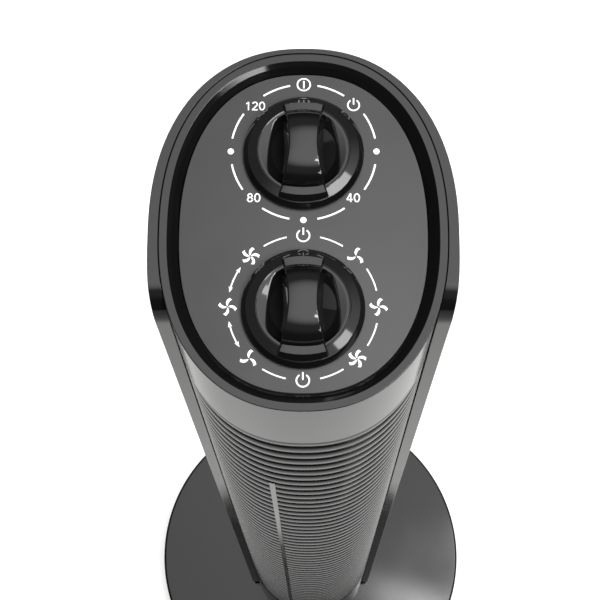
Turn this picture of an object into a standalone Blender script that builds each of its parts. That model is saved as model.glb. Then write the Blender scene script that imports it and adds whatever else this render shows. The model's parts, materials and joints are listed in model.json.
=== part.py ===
"""Tower fan on a round swinging base.

The tower is an egg-shaped column: a U-shaped rear casing, a ribbed front grille and a top cover
with two dials. It turns on a post in the base, driven by a small geared motor. Inside are a
drum impeller on a vertical shaft, its motor, the air duct, the timer and the speed switch.
Units are metres, +Z is up and the front faces -Y. The base's centre is the origin.
"""

import math

import bmesh
import bpy
from mathutils import Vector

# Overall sizes
TOWER_TOP = 0.7500
TOWER_BOTTOM = 0.0300
BASE_RADIUS = 0.1110

# Clearances, and how far a cutter goes past the face that it opens
TOUCH = 0.0003
RUNNING = 0.0004
PAST = 0.0010
SLOT_PLAY = 0.0006

# Tower plan: half width, front and back of each outline, and how square the oval is
PLAN_CENTRE_Y = 0.0020
PLAN_POWER = 2.25
COVER_HALF_WIDTH = 0.0415
COVER_FRONT_Y = -0.0507
COVER_BACK_Y = 0.0577
CASING_SIDE_WALL = 0.0030
CASING_BACK_WALL = 0.0016
CASING_FRONT_SPREAD = 0.0055
CASING_FRONT_Y = -0.0224
CASING_CORNER = 0.0097
PLAN_POINTS = 44
CASING_FACETS = 23
GRILLE_FACETS = 9

# Top cover and panel
RIM_WIDTH = 0.0024
BEVEL_WIDTH = 0.0030
PANEL_DEPTH = 0.0025
PANEL_THICKNESS = 0.0020
BAND_HEIGHT = 0.0454
COVER_WALL = 0.0022
LEDGE_WIDTH = 0.0022
LEDGE_THICKNESS = 0.0020
COVER_EDGE = 0.0004

# Dials
TIMER_Y = 0.0267
SPEED_Y = -0.0206
KNOB_RADIUS = 0.0176
KNOB_LIP_RADIUS = 0.0163
KNOB_LIP_HEIGHT = 0.0021
KNOB_CROWN_RADIUS = 0.0134
KNOB_CROWN_HEIGHT = 0.0028
KNOB_DISH_RADIUS = 0.0100
KNOB_DISH_HEIGHT = 0.0012
GRIP_HEIGHT = 0.0092
GRIP_REACH = 0.0129
GRIP_BACK_WIDTH = 0.0106
GRIP_WAIST_WIDTH = 0.0080
GRIP_FRONT_WIDTH = 0.0124
KNOB_SOCKET_DEPTH = 0.0040
DIAL_SHAFT_RADIUS = 0.0025
DIAL_HOLE_PLAY = 0.0010
DIAL_BORE_DEPTH = 0.0080
DIAL_BORE_END = 0.0005
KNOB_EDGE_HEIGHT = 0.0004
GRIP_FOOT = 0.0005
GRIP_END_RISE = 0.08
TIMER_BODY_RADIUS = 0.0215
TIMER_BODY_HEIGHT = 0.0180
SWITCH_BODY_RADIUS = 0.0185
SWITCH_BODY_HEIGHT = 0.0150
CHASSIS_THICKNESS = 0.0016
CHASSIS_GAP = 0.0030

# Front grille
GRILLE_WALL = 0.0026
GRILLE_PITCH = 0.0103
GRILLE_SLOT = 0.0042
GRILLE_LOW = 0.1200
GRILLE_SLOT_HALF_WIDTH = 0.0300
GRILLE_SIDE_Y = -0.0150
GRILLE_CUT_FROM_Y = -0.0700
GRILLE_CUT_TO_Y = -0.0200

# Rear air slots
INTAKE_PITCH = 0.0206
INTAKE_SLOT = 0.0060
INTAKE_LOW = 0.1750
INTAKE_HIGH = 0.6500
INTAKE_HALF_WIDTH = 0.0270
INTAKE_BAR = 0.0040
INTAKE_FROM_Y = 0.0300
INTAKE_TO_Y = 0.0700

# Impeller and its bearings
IMPELLER_Y = 0.0060
IMPELLER_RADIUS = 0.0290
IMPELLER_LOW = 0.1560
IMPELLER_HIGH = 0.6560
IMPELLER_BLADES = 14
BLADE_LEAN = 10.0
BLADE_THICKNESS = 0.0008
BLADE_DEPTH = 0.0070
BLADE_SINK = 0.0010
BLADE_START = 0.3
BLADE_BOW = 0.35
RING_THICKNESS = 0.0020
RING_COUNT = 3
SHAFT_RADIUS = 0.0030
SHAFT_START = 0.0060
HUB_RADIUS = 0.0080
HUB_HEIGHT = 0.0120
DUCT_GAP = 0.0035
DUCT_WALL = 0.0016
DUCT_ARC = (125, 205)
DUCT_MOUTH = (-0.0235, -0.0350)
TONGUE_ARC = (-24, -4)
TONGUE_MOUTH = (0.0255, -0.0350)
BRACKET_THICKNESS = 0.0030
BRACKET_GAP = 0.0060
BUSH_RADIUS = 0.0085
BEARING_RADIUS = 0.0055
BEARING_HEIGHT = 0.0070
BEARING_DROP = 0.0010

# Fan motor
MOTOR_PLATE_Z = 0.1450
MOTOR_PLATE_THICKNESS = 0.0025
MOTOR_RADIUS = 0.0330
MOTOR_HEIGHT = 0.0440
MOTOR_WALL = 0.0015
MOTOR_COVER_INSET = 0.0010
MOTOR_BOSS_WALL = 0.0020
MOTOR_BEARING_HEIGHT = 0.0050
STATOR_HEIGHT = 0.0160
ROTOR_RADIUS = 0.0150
ROTOR_HEIGHT = 0.0200
AIR_GAP = 0.0005
CAPACITOR_GAP = 0.0020
CAPACITOR_ROUNDING = 0.0015
CAPACITOR_SIZE = (0.0300, 0.0120, 0.0200)

# Base
FOOT_RADIUS = 0.0090
FOOT_HEIGHT = 0.0025
FOOT_INSET = 0.0230
FOOT_COUNT = 5
PLATE_THICKNESS = 0.0020
BASE_WALL = 0.0025
BASE_EDGE_TOP = 0.0180
BASE_CROWN = 0.0215
BASE_UNDERCUT = 0.0030
BASE_SLOPE_RADIUS = 0.0600
BASE_SLOPE_DROP = 0.0010
BASE_EDGE_STEPS = ((0.0120, 0), (0.0045, 0.0018), (0.0010, 0.0050), (0, 0.0085))
BASE_SKIRT_TAPER = 0.0008
BASE_SKIRT_RISE = 0.0030
BASE_INSIDE_DROP = 0.0050
FOOT_BEVEL = 0.0006
BALLAST_INNER = 0.0600
BALLAST_INSET = 0.0150
BALLAST_THICKNESS = 0.0060
BASE_SCREW_CIRCLE = 0.0500

# Swivel
POST_RADIUS = 0.0240
POST_WALL = 0.0060
SHOULDER_RADIUS = 0.0340
SHOULDER_TOP = 0.0285
POST_TOP = 0.0450
WASHER_THICKNESS = 0.0012
WASHER_INSET = 0.0010
HUB_SINK = 0.0005
HUB_EASE = 0.0001
FLOOR_PILLARS = ((-0.0330, 0.0120), (0.0330, 0.0120))
PILLAR_RADIUS = 0.0028
PILLAR_SINK = 0.0010
FLOOR_THICKNESS = 0.0030
HUB_WALL = 0.0035
GEAR_MODULE = 0.0015
GEAR_TEETH = 40
PINION_TEETH = 10
GEAR_THICKNESS = 0.0050
GEAR_BACKLASH = 0.0003
SWING_LIMIT = 35.0
SWING_MOTOR_RADIUS = 0.0240
SWING_MOTOR_HEIGHT = 0.0180
SWING_MOTOR_OFFSET = 0.0140
SWING_PLATE_THICKNESS = 0.0020
SWING_PLATE_GAP = 0.0025
SWING_PLATE_CORNERS = ((0.0355, -0.0020), (0.0355, 0.0160), (0.0200, 0.0490))
DRIVE_SHAFT_RADIUS = 0.0020
DRIVE_BORE_DEPTH = 0.0080
PINION_LIFT = 0.0005
PINION_RISE = 0.0010

# Fasteners and cable parts
SCREW_HEAD_RADIUS = 0.0032
SCREW_HEAD_HEIGHT = 0.0018
SCREW_SHANK_RADIUS = 0.0015
SCREW_LENGTH = 0.0090
GEAR_SCREW_SHANK_RADIUS = 0.0010
GEAR_SCREW_COUNT = 3
GEAR_SCREW_BITE = 0.0070
CASING_SCREW_LENGTH = 0.0080
BASE_SCREW_COUNT = 4
BOSS_RADIUS = 0.0042
LUG_WIDTH = 0.0120
LUG_DEPTH = 0.0080
LUG_HEIGHT = 0.0090
LUG_BLIND = 0.0005
LUG_CUT_REACH = 0.0050
LUG_SINK = 0.0010
COVER_LUG_DROP = 0.0380
FLOOR_SCREW_RISE = 0.0060
PLATE_SCREW_RISE = 0.0010
GLAND_Z = 0.0620
GLAND_RADIUS = 0.0050
GLAND_FLANGE_RADIUS = 0.0068
GLAND_FLANGE = 0.0015
GLAND_BORE_RADIUS = 0.0019
GLAND_LENGTH = 0.0070
LOOM_RADIUS = 0.0018
LOOM_HOLE_RADIUS = 0.0026
LOOM_X = 0.0310
LOOM_Y = 0.0260
LOOM_BEND = 0.0400
LOOM_START = ((0.0080, 0.0060, 0), (0.0080, 0.0060, 0.0060), (0.0240, 0.0226, 0.0200))
LOOM_END = ((0.0230, 0.0137, 0.0200), (0.0060, 0.0087, 0.0060), (0.0010, 0.0060, 0))

# Sizes that follow from the ones above
PANEL_Z = TOWER_TOP - PANEL_DEPTH
BAND_BOTTOM = TOWER_TOP - BAND_HEIGHT
GRILLE_TOP = BAND_BOTTOM - TOUCH
FOOT_CIRCLE = BASE_RADIUS - FOOT_INSET
BALLAST_OUTER = BASE_RADIUS - BALLAST_INSET
CHASSIS_Z = PANEL_Z - PANEL_THICKNESS - LEDGE_THICKNESS - TOUCH - CHASSIS_GAP
BASE_PLATE_Z = FOOT_HEIGHT + TOUCH
BASE_SHELL_Z = BASE_PLATE_Z
FLOOR_Z = SHOULDER_TOP + 2 * TOUCH + WASHER_THICKNESS
GEAR_RADIUS = GEAR_MODULE * GEAR_TEETH / 2
COVER_LUG_Z = TOWER_TOP - COVER_LUG_DROP
PINION_RADIUS = GEAR_MODULE * PINION_TEETH / 2
GEAR_Z = POST_TOP + TOUCH
SWING_AXIS_Y = GEAR_RADIUS + PINION_RADIUS
SWING_PLATE_Z = GEAR_Z + GEAR_THICKNESS + SWING_PLATE_GAP
BRACKET_Z = IMPELLER_HIGH + BRACKET_GAP


def clear_scene():
    """Removes every object, so that the script starts from an empty file."""
    for obj in list(bpy.data.objects):
        bpy.data.objects.remove(obj)


def new_collection(name, shown):
    """A collection in the scene; cutters go in one that isn't shown."""
    group = bpy.data.collections.new(name)
    group.hide_render = not shown
    bpy.context.scene.collection.children.link(group)
    return group


def material(name, colour, roughness, metallic=0.0):
    """A plain Principled material."""
    made = bpy.data.materials.new(name)
    made.use_nodes = True
    shader = made.node_tree.nodes["Principled BSDF"]
    shader.inputs["Base Color"].default_value = (*colour, 1.0)
    shader.inputs["Roughness"].default_value = roughness
    shader.inputs["Metallic"].default_value = metallic
    return made


clear_scene()
PARTS = new_collection("tower_fan", True)
CUTTERS = new_collection("cutters", False)

GLOSS_BLACK = ("gloss_black", (0.012, 0.012, 0.013), 0.12, 0.0)
SATIN_GREY = ("satin_grey", (0.050, 0.050, 0.052), 0.45, 0.0)
MATTE_BLACK = ("matte_black", (0.020, 0.020, 0.021), 0.55, 0.0)
RUBBER = ("rubber", (0.015, 0.015, 0.015), 0.85, 0.0)
STEEL = ("steel", (0.55, 0.55, 0.56), 0.35, 1.0)
IRON = ("iron", (0.20, 0.20, 0.21), 0.55, 1.0)
BRONZE = ("bronze", (0.45, 0.30, 0.16), 0.40, 1.0)
WHITE_NYLON = ("white_nylon", (0.75, 0.74, 0.70), 0.50, 0.0)
FILM_GREY = ("film_grey", (0.35, 0.36, 0.38), 0.40, 0.0)


def pivot(name, place):
    """An empty on a joint's axis, which the pieces of one moving body hang from."""
    empty = bpy.data.objects.new(name, None)
    empty.location = place
    PARTS.objects.link(empty)
    return empty


def finish(obj, name, look, body):
    """Names a piece, gives it its own material and hangs it from its body's pivot."""
    obj.name = name
    obj.data.name = name
    for group in list(obj.users_collection):
        group.objects.unlink(obj)
    PARTS.objects.link(obj)
    obj.data.materials.clear()
    obj.data.materials.append(material(name + "_" + look[0], *look[1:]))
    obj.parent = body
    obj.location = obj.location - body.location
    obj.data.shade_smooth()
    obj.data.set_sharp_from_angle(angle=math.radians(35))
    return obj


def from_bmesh(name, shape, place=(0, 0, 0)):
    """An object made from a finished bmesh, with its faces turned outwards."""
    bmesh.ops.recalc_face_normals(shape, faces=shape.faces)
    mesh = bpy.data.meshes.new(name)
    shape.to_mesh(mesh)
    shape.free()
    obj = bpy.data.objects.new(name, mesh)
    obj.location = place
    PARTS.objects.link(obj)
    return obj


def evaluated_bmesh(source):
    """The shape of an object with its modifiers applied; the object is removed."""
    PARTS.objects.link(source)
    bpy.context.view_layer.update()
    mesh = bpy.data.meshes.new_from_object(source.evaluated_get(bpy.context.evaluated_depsgraph_get()))
    bpy.data.objects.remove(source)
    shape = bmesh.new()
    shape.from_mesh(mesh)
    bpy.data.meshes.remove(mesh)
    bmesh.ops.remove_doubles(shape, verts=shape.verts, dist=0.000002)
    return shape


def prism(name, loops, low, high):
    """A flat outline, with its holes, given thickness from one height to another."""
    curve = bpy.data.curves.new(name, "CURVE")
    curve.dimensions = "2D"
    curve.fill_mode = "BOTH"
    curve.extrude = (high - low) / 2
    for loop in loops:
        spline = curve.splines.new("POLY")
        spline.points.add(len(loop) - 1)
        spline.use_cyclic_u = True
        for point, (x, y) in zip(spline.points, loop):
            point.co = (x, y, 0, 1)
    shape = evaluated_bmesh(bpy.data.objects.new(name, curve))
    bmesh.ops.translate(shape, verts=shape.verts, vec=(0, 0, (low + high) / 2))
    return from_bmesh(name, shape)


def turned_group(name, profiles, steps, place=(0, 0, 0), closed=True):
    """Profiles of (radius, height) points turned about Z into one mesh of separate rings."""
    points = []
    edges = []
    for profile in profiles:
        first = len(points)
        points += [(radius, 0, height) for radius, height in profile]
        edges += [(i, i + 1) for i in range(first, len(points) - 1)]
        if closed:
            edges.append((len(points) - 1, first))
    mesh = bpy.data.meshes.new(name)
    mesh.from_pydata(points, edges, [])
    source = bpy.data.objects.new(name, mesh)
    screw = source.modifiers.new("Turn", "SCREW")
    screw.axis = "Z"
    screw.steps = steps
    screw.render_steps = steps
    screw.use_merge_vertices = True
    screw.merge_threshold = 0.000005
    return from_bmesh(name, evaluated_bmesh(source), place)


def turned(name, profile, steps, place=(0, 0, 0), closed=True):
    """One profile turned about Z; a closed one makes a ring, an open one starts on the axis."""
    return turned_group(name, [profile], steps, place, closed)


def tube_profile(inner, outer, low, high):
    """The section of a plain ring or bush."""
    return [(inner, high), (outer, high), (outer, low), (inner, low)]


def rod_profile(radius, low, high):
    """The section of a plain rod, open on the axis."""
    return [(0, high), (radius, high), (radius, low), (0, low)]


def boxes(name, corners):
    """One mesh of separate boxes, each given by its low and high corner."""
    shape = bmesh.new()
    for low, high in corners:
        low = Vector(low)
        high = Vector(high)
        made = bmesh.ops.create_cube(shape, size=1.0)["verts"]
        bmesh.ops.scale(shape, verts=made, vec=high - low)
        bmesh.ops.translate(shape, verts=made, vec=(low + high) / 2)
    return from_bmesh(name, shape)


def rods(name, ends, radius, steps=12):
    """One mesh of separate round rods, each given by its two ends."""
    shape = bmesh.new()
    for low, high in ends:
        low = Vector(low)
        high = Vector(high)
        length = (high - low).length
        made = bmesh.ops.create_cone(
            shape, cap_ends=True, segments=steps, radius1=radius, radius2=radius, depth=length
        )["verts"]
        turn = Vector((0, 0, 1)).rotation_difference(high - low).to_matrix()
        bmesh.ops.rotate(shape, verts=made, cent=(0, 0, 0), matrix=turn)
        bmesh.ops.translate(shape, verts=made, vec=(low + high) / 2)
    return from_bmesh(name, shape)


def combine(obj, tool, operation):
    """Cuts a tool from an object, or joins it on, with a Boolean modifier."""
    for group in list(tool.users_collection):
        group.objects.unlink(tool)
    CUTTERS.objects.link(tool)
    tool.hide_render = True
    tool.display_type = "WIRE"
    step = obj.modifiers.new(operation.title(), "BOOLEAN")
    step.operation = operation
    step.object = tool
    return obj


def cut(obj, tool):
    return combine(obj, tool, "DIFFERENCE")


def join(obj, tool):
    return combine(obj, tool, "UNION")


def plan_point(half_width, front_y, back_y, angle):
    """A point on the tower's egg-shaped plan, a squared oval with unlike front and back."""
    across = math.cos(angle)
    along = math.sin(angle)
    reach = back_y - PLAN_CENTRE_Y if along > 0 else PLAN_CENTRE_Y - front_y
    x = half_width * math.copysign(abs(across) ** (2 / PLAN_POWER), across)
    y = PLAN_CENTRE_Y + reach * math.copysign(abs(along) ** (2 / PLAN_POWER), along)
    return x, y


def plan_angle(front_y, back_y, y):
    """The angle at which the right-hand side of a plan outline reaches y."""
    reach = back_y - PLAN_CENTRE_Y if y > PLAN_CENTRE_Y else PLAN_CENTRE_Y - front_y
    share = (y - PLAN_CENTRE_Y) / reach
    return math.copysign(math.asin(abs(share) ** (PLAN_POWER / 2)), share)


def plan_loop(half_width, front_y, back_y):
    """The whole outline, anticlockwise seen from above."""
    step = 2 * math.pi / PLAN_POINTS
    return [plan_point(half_width, front_y, back_y, step * i) for i in range(PLAN_POINTS)]


def plan_arc(half_width, front_y, back_y, start, end, count):
    """Part of the outline between two angles."""
    step = (end - start) / count
    return [plan_point(half_width, front_y, back_y, start + step * i) for i in range(count + 1)]


def inset(points, distance, closed=True):
    """An anticlockwise outline moved inwards by the same distance everywhere."""
    moved = []
    count = len(points)
    for i, (x, y) in enumerate(points):
        before = points[i - 1] if closed or i > 0 else points[0]
        after = points[(i + 1) % count] if closed or i < count - 1 else points[-1]
        along = Vector((after[0] - before[0], after[1] - before[1])).normalized()
        moved.append((x - along.y * distance, y + along.x * distance))
    return moved


def cover_loop(distance=0.0):
    """The cover's plan, moved inwards by a distance."""
    loop = plan_loop(COVER_HALF_WIDTH, COVER_FRONT_Y, COVER_BACK_Y)
    return inset(loop, distance) if distance else loop


def circle(radius, centre=(0, 0), steps=24):
    """A round outline or hole."""
    step = 2 * math.pi / steps
    return [
        (centre[0] + radius * math.cos(step * i), centre[1] + radius * math.sin(step * i))
        for i in range(steps)
    ]


def swept_loop(name, loop, section):
    """A section of (inset, height) points carried round a closed plan outline."""
    shape = bmesh.new()
    rows = []
    for distance, height in section:
        rows.append([shape.verts.new((x, y, height)) for x, y in inset(loop, distance)])
    count = len(loop)
    for lower, upper in zip(rows, rows[1:] + rows[:1]):
        for i in range(count):
            j = (i + 1) % count
            shape.faces.new((lower[i], lower[j], upper[j], upper[i]))
    return from_bmesh(name, shape)


def lofted(name, sections):
    """A closed body through a row of four-cornered sections."""
    shape = bmesh.new()
    rows = [[shape.verts.new(corner) for corner in section] for section in sections]
    for near, far in zip(rows, rows[1:]):
        for i in range(4):
            j = (i + 1) % 4
            shape.faces.new((near[i], near[j], far[j], far[i]))
    shape.faces.new(rows[0])
    shape.faces.new(rows[-1])
    return from_bmesh(name, shape)


def ring_places(radius, count, start=0.0, centre=(0, 0)):
    """Points spaced evenly on a circle."""
    step = 2 * math.pi / count
    return [
        (centre[0] + radius * math.cos(start + step * i), centre[1] + radius * math.sin(start + step * i))
        for i in range(count)
    ]


def screw_piece(name, place, toward, body, shank_radius=SCREW_SHANK_RADIUS, length=SCREW_LENGTH):
    """A pan-head screw whose head's underside is at place and whose shank points toward."""
    head = SCREW_HEAD_RADIUS
    profile = [
        (0, SCREW_HEAD_HEIGHT),
        (head * 0.7, SCREW_HEAD_HEIGHT),
        (head, SCREW_HEAD_HEIGHT * 0.5),
        (head, 0),
        (shank_radius, 0),
        (shank_radius, -length),
        (0, -length),
    ]
    made = turned(name, profile, 8, place, closed=False)
    made.rotation_euler = Vector((0, 0, -1)).rotation_difference(Vector(toward)).to_euler()
    return finish(made, name, STEEL, body)


base = pivot("base_origin", Vector((0, 0, 0)))
tower = pivot("tower_pivot", Vector((0, 0, 0)))
impeller_pivot = pivot("impeller_pivot", Vector((0, IMPELLER_Y, 0)))
timer_pivot = pivot("timer_pivot", Vector((0, TIMER_Y, 0)))
speed_pivot = pivot("speed_pivot", Vector((0, SPEED_Y, 0)))
pinion_pivot = pivot("pinion_pivot", Vector((0, SWING_AXIS_Y, 0)))


# Base: a dished shell with the swivel post, a ballast ring, a bottom plate and rubber feet

def base_shell():
    """The glossy disc, its underside open, with the hollow post that the tower turns on."""
    edge = BASE_RADIUS - BASE_UNDERCUT
    slope = BASE_SLOPE_RADIUS
    post_inner = POST_RADIUS - POST_WALL
    profile = [
        (post_inner, POST_TOP),
        (POST_RADIUS, POST_TOP),
        (POST_RADIUS, SHOULDER_TOP),
        (SHOULDER_RADIUS, SHOULDER_TOP),
        (SHOULDER_RADIUS, BASE_CROWN),
        (slope, BASE_CROWN - BASE_SLOPE_DROP),
        *[(BASE_RADIUS - inwards, BASE_EDGE_TOP - drop) for inwards, drop in BASE_EDGE_STEPS],
        (BASE_RADIUS - BASE_SKIRT_TAPER, BASE_SHELL_Z + BASE_SKIRT_RISE),
        (edge, BASE_SHELL_Z),
        (edge - BASE_WALL, BASE_SHELL_Z),
        (edge - BASE_WALL, BASE_EDGE_TOP - BASE_INSIDE_DROP),
        (BALLAST_OUTER, BASE_EDGE_TOP - BASE_WALL),
        (slope, BASE_CROWN - BASE_SLOPE_DROP - BASE_WALL),
        (post_inner, BASE_CROWN - BASE_WALL),
    ]
    shell = turned("base_shell", profile, 44)
    boss_low = BASE_PLATE_Z + PLATE_THICKNESS + TOUCH
    places = ring_places(BASE_SCREW_CIRCLE, BASE_SCREW_COUNT, math.pi / 4)
    ends = [((x, y, boss_low), (x, y, BASE_CROWN - BASE_WALL)) for x, y in places]
    join(shell, rods("base_bosses", ends, BOSS_RADIUS, 10))
    pilot = SCREW_SHANK_RADIUS + TOUCH
    ends = [((x, y, boss_low - PAST), (x, y, boss_low + SCREW_LENGTH)) for x, y in places]
    cut(shell, rods("base_pilots", ends, pilot, 10))
    places = ring_places(POST_RADIUS - POST_WALL / 2, GEAR_SCREW_COUNT, -math.pi / 2)
    ends = [((x, y, POST_TOP - SCREW_LENGTH), (x, y, POST_TOP + PAST)) for x, y in places]
    cut(shell, rods("post_pilots", ends, GEAR_SCREW_SHANK_RADIUS + TOUCH, 8))
    finish(shell, "base_shell", GLOSS_BLACK, base)


def base_inside():
    """The steel ballast ring, the plate that closes the base, and its screws and feet."""
    ballast_low = BASE_PLATE_Z + PLATE_THICKNESS + TOUCH
    section = tube_profile(BALLAST_INNER, BALLAST_OUTER, ballast_low, ballast_low + BALLAST_THICKNESS)
    finish(turned("base_ballast", section, 24), "base_ballast", IRON, base)

    plate_radius = BASE_RADIUS - BASE_UNDERCUT - BASE_WALL - TOUCH
    places = ring_places(BASE_SCREW_CIRCLE, BASE_SCREW_COUNT, math.pi / 4)
    holes = [circle(SCREW_SHANK_RADIUS + TOUCH, place, 10) for place in places]
    loops = [circle(plate_radius, (0, 0), 36)] + holes
    plate = prism("base_plate", loops, BASE_PLATE_Z, BASE_PLATE_Z + PLATE_THICKNESS)
    finish(plate, "base_plate", MATTE_BLACK, base)

    for i, (x, y) in enumerate(places):
        place = (x, y, BASE_PLATE_Z - TOUCH)
        screw_piece(f"base_screw_{i + 1}", place, (0, 0, 1), base)
    section = [
        (0, FOOT_HEIGHT),
        (FOOT_RADIUS, FOOT_HEIGHT),
        (FOOT_RADIUS, FOOT_BEVEL),
        (FOOT_RADIUS - FOOT_BEVEL, 0),
        (0, 0),
    ]
    for i, (x, y) in enumerate(ring_places(FOOT_CIRCLE, FOOT_COUNT, math.pi / 2)):
        foot = turned("foot", section, 12, (x, y, 0), closed=False)
        finish(foot, f"rubber_foot_{i + 1}", RUBBER, base)


# Swivel: a slippery washer under the tower, and a toothed ring fixed on the post above it

def gear_outline(teeth, module, backlash, first=0, last=None, turn=0.0):
    """A spur gear's outline with trapezoid teeth; teeth outside first to last are left off."""
    last = teeth - 1 if last is None else last
    pitch = module * teeth / 2
    tip = pitch + 0.80 * module
    root = pitch - 1.05 * module
    step = 2 * math.pi / teeth
    half_pitch = (math.pi * module / 2 - backlash) / 2
    points = []
    for tooth in range(teeth):
        middle = turn + step * tooth
        if first <= tooth <= last:
            corners = [
                (root, -half_pitch * 1.50),
                (pitch, -half_pitch),
                (tip, -half_pitch * 0.50),
                (tip, half_pitch * 0.50),
                (pitch, half_pitch),
                (root, half_pitch * 1.50),
            ]
        else:
            corners = [(root, 0)]
        for radius, aside in corners:
            angle = middle + aside / radius
            points.append((radius * math.cos(angle), radius * math.sin(angle)))
    return points


def swivel_pieces():
    """What holds the tower on the post."""
    low = SHOULDER_TOP + TOUCH
    outer = SHOULDER_RADIUS - WASHER_INSET
    section = tube_profile(POST_RADIUS + RUNNING, outer, low, low + WASHER_THICKNESS)
    finish(turned("swivel_washer", section, 24), "swivel_washer", WHITE_NYLON, base)

    spare = 2
    reach = math.ceil(GEAR_TEETH * SWING_LIMIT / 360) + spare
    step = 2 * math.pi / GEAR_TEETH
    turn = math.pi / 2 - step * reach
    outline = gear_outline(GEAR_TEETH, GEAR_MODULE, GEAR_BACKLASH, 0, 2 * reach, turn)
    places = ring_places(POST_RADIUS - POST_WALL / 2, GEAR_SCREW_COUNT, -math.pi / 2)
    holes = [circle(GEAR_SCREW_SHANK_RADIUS + TOUCH, place, 8) for place in places]
    holes.append(circle(POST_RADIUS - POST_WALL, (0, 0), 24))
    gear = prism("swing_gear", [outline] + holes, GEAR_Z, GEAR_Z + GEAR_THICKNESS)
    finish(gear, "swing_gear", WHITE_NYLON, base)
    for i, (x, y) in enumerate(places):
        place = (x, y, GEAR_Z + GEAR_THICKNESS + TOUCH)
        length = GEAR_THICKNESS + GEAR_SCREW_BITE
        screw_piece(f"gear_screw_{i + 1}", place, (0, 0, -1), base, GEAR_SCREW_SHANK_RADIUS, length)


# Tower floor and swing drive

def lug(low_z, high_z):
    """A block on the inside of the rear wall that takes one casing screw."""
    back = COVER_BACK_Y
    half = LUG_WIDTH / 2
    return boxes("lug", [((-half, back - LUG_DEPTH, low_z), (half, back - TOUCH, high_z))])


def lug_hole(height):
    """The pilot hole of a casing screw."""
    start = (0, COVER_BACK_Y - LUG_DEPTH + LUG_BLIND, height)
    end = (0, COVER_BACK_Y + LUG_CUT_REACH, height)
    return rods("lug_hole", [(start, end)], SCREW_SHANK_RADIUS + TOUCH, 10)


def with_lug(obj, low_z, high_z, screw_z):
    join(obj, lug(low_z, high_z))
    return cut(obj, lug_hole(screw_z))


def inner_loop():
    """The plan of a plate that fits inside the casing and behind the grille."""
    return cover_loop(GRILLE_WALL + 2 * TOUCH)


FLOOR_SCREW_Z = FLOOR_Z + FLOOR_SCREW_RISE
PLATE_SCREW_Z = MOTOR_PLATE_Z + PLATE_SCREW_RISE
BRACKET_SCREW_Z = BRACKET_Z + PLATE_SCREW_RISE
COVER_SCREW_Z = COVER_LUG_Z + LUG_HEIGHT / 2


def tower_floor():
    """The plate that closes the tower's foot, with the hub that runs on the post."""
    hole = circle(POST_RADIUS + RUNNING, (0, 0), 24)
    floor = prism("tower_floor", [inner_loop(), hole], FLOOR_Z, FLOOR_Z + FLOOR_THICKNESS)
    hub_top = POST_TOP - 2 * TOUCH
    section = tube_profile(
        POST_RADIUS + RUNNING + HUB_EASE,
        POST_RADIUS + RUNNING + HUB_WALL,
        FLOOR_Z + HUB_SINK,
        hub_top,
    )
    join(floor, turned("floor_hub", section, 24))
    low = FLOOR_Z + PILLAR_SINK
    high = SWING_PLATE_Z - TOUCH
    ends = [((x, y, low), (x, y, high)) for x, y in FLOOR_PILLARS]
    join(floor, rods("floor_pillars", ends, PILLAR_RADIUS, 10))
    with_lug(floor, low, high, FLOOR_SCREW_Z)
    finish(floor, "tower_floor", MATTE_BLACK, tower)


def swing_drive():
    """The slow reversing motor that swings the tower, its bracket, and its pinion."""
    low = SWING_PLATE_Z
    high = SWING_PLATE_Z + SWING_PLATE_THICKNESS
    centre_y = SWING_AXIS_Y - SWING_MOTOR_OFFSET
    right = list(SWING_PLATE_CORNERS)
    left = [(-x, y) for x, y in reversed(right)]
    shaft_hole = circle(2 * DRIVE_SHAFT_RADIUS, (0, SWING_AXIS_Y), 12)
    plate = prism("swing_motor_plate", [right + left, shaft_hole], low, high)
    finish(plate, "swing_motor_plate", STEEL, tower)

    motor_low = high + TOUCH
    motor_high = motor_low + SWING_MOTOR_HEIGHT
    section = rod_profile(SWING_MOTOR_RADIUS, motor_low, motor_high)
    motor = turned("swing_motor", section, 28, (0, centre_y, 0), closed=False)
    bore = rods(
        "swing_motor_bore",
        [((0, SWING_AXIS_Y, motor_low - PAST), (0, SWING_AXIS_Y, motor_low + DRIVE_BORE_DEPTH))],
        DRIVE_SHAFT_RADIUS + RUNNING,
        10,
    )
    cut(motor, bore)
    finish(motor, "swing_motor", STEEL, tower)

    pinion_low = GEAR_Z + PINION_LIFT
    pinion_high = GEAR_Z + GEAR_THICKNESS + PINION_RISE
    half_step = math.pi / PINION_TEETH
    outline = gear_outline(PINION_TEETH, GEAR_MODULE, GEAR_BACKLASH, turn=-math.pi / 2 + half_step)
    centred = [(x, y + SWING_AXIS_Y) for x, y in outline]
    bore = circle(DRIVE_SHAFT_RADIUS + TOUCH, (0, SWING_AXIS_Y), 10)
    pinion = prism("swing_pinion", [centred, bore], pinion_low, pinion_high)
    finish(pinion, "swing_pinion", WHITE_NYLON, pinion_pivot)
    shaft = turned(
        "pinion_shaft",
        rod_profile(DRIVE_SHAFT_RADIUS, pinion_low, motor_low + DRIVE_BORE_DEPTH - PAST),
        10,
        (0, SWING_AXIS_Y, 0),
        closed=False,
    )
    finish(shaft, "pinion_shaft", STEEL, pinion_pivot)


# Outer shells: rear casing, front grille, top cover and panel

def casing_outline():
    """The U-shaped wall that wraps the sides and back, thicker at the sides."""
    inner = (COVER_HALF_WIDTH + TOUCH, COVER_FRONT_Y - TOUCH, COVER_BACK_Y + TOUCH)
    outer = (
        inner[0] + CASING_SIDE_WALL,
        COVER_FRONT_Y - CASING_FRONT_SPREAD,
        inner[2] + CASING_BACK_WALL,
    )
    outer_start = plan_angle(outer[1], outer[2], CASING_FRONT_Y)
    inner_start = plan_angle(inner[1], inner[2], CASING_FRONT_Y)
    wall = plan_arc(*outer, outer_start, math.pi - outer_start, CASING_FACETS)
    lining = plan_arc(*inner, inner_start, math.pi - inner_start, CASING_FACETS)
    return wall + lining[::-1]


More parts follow.
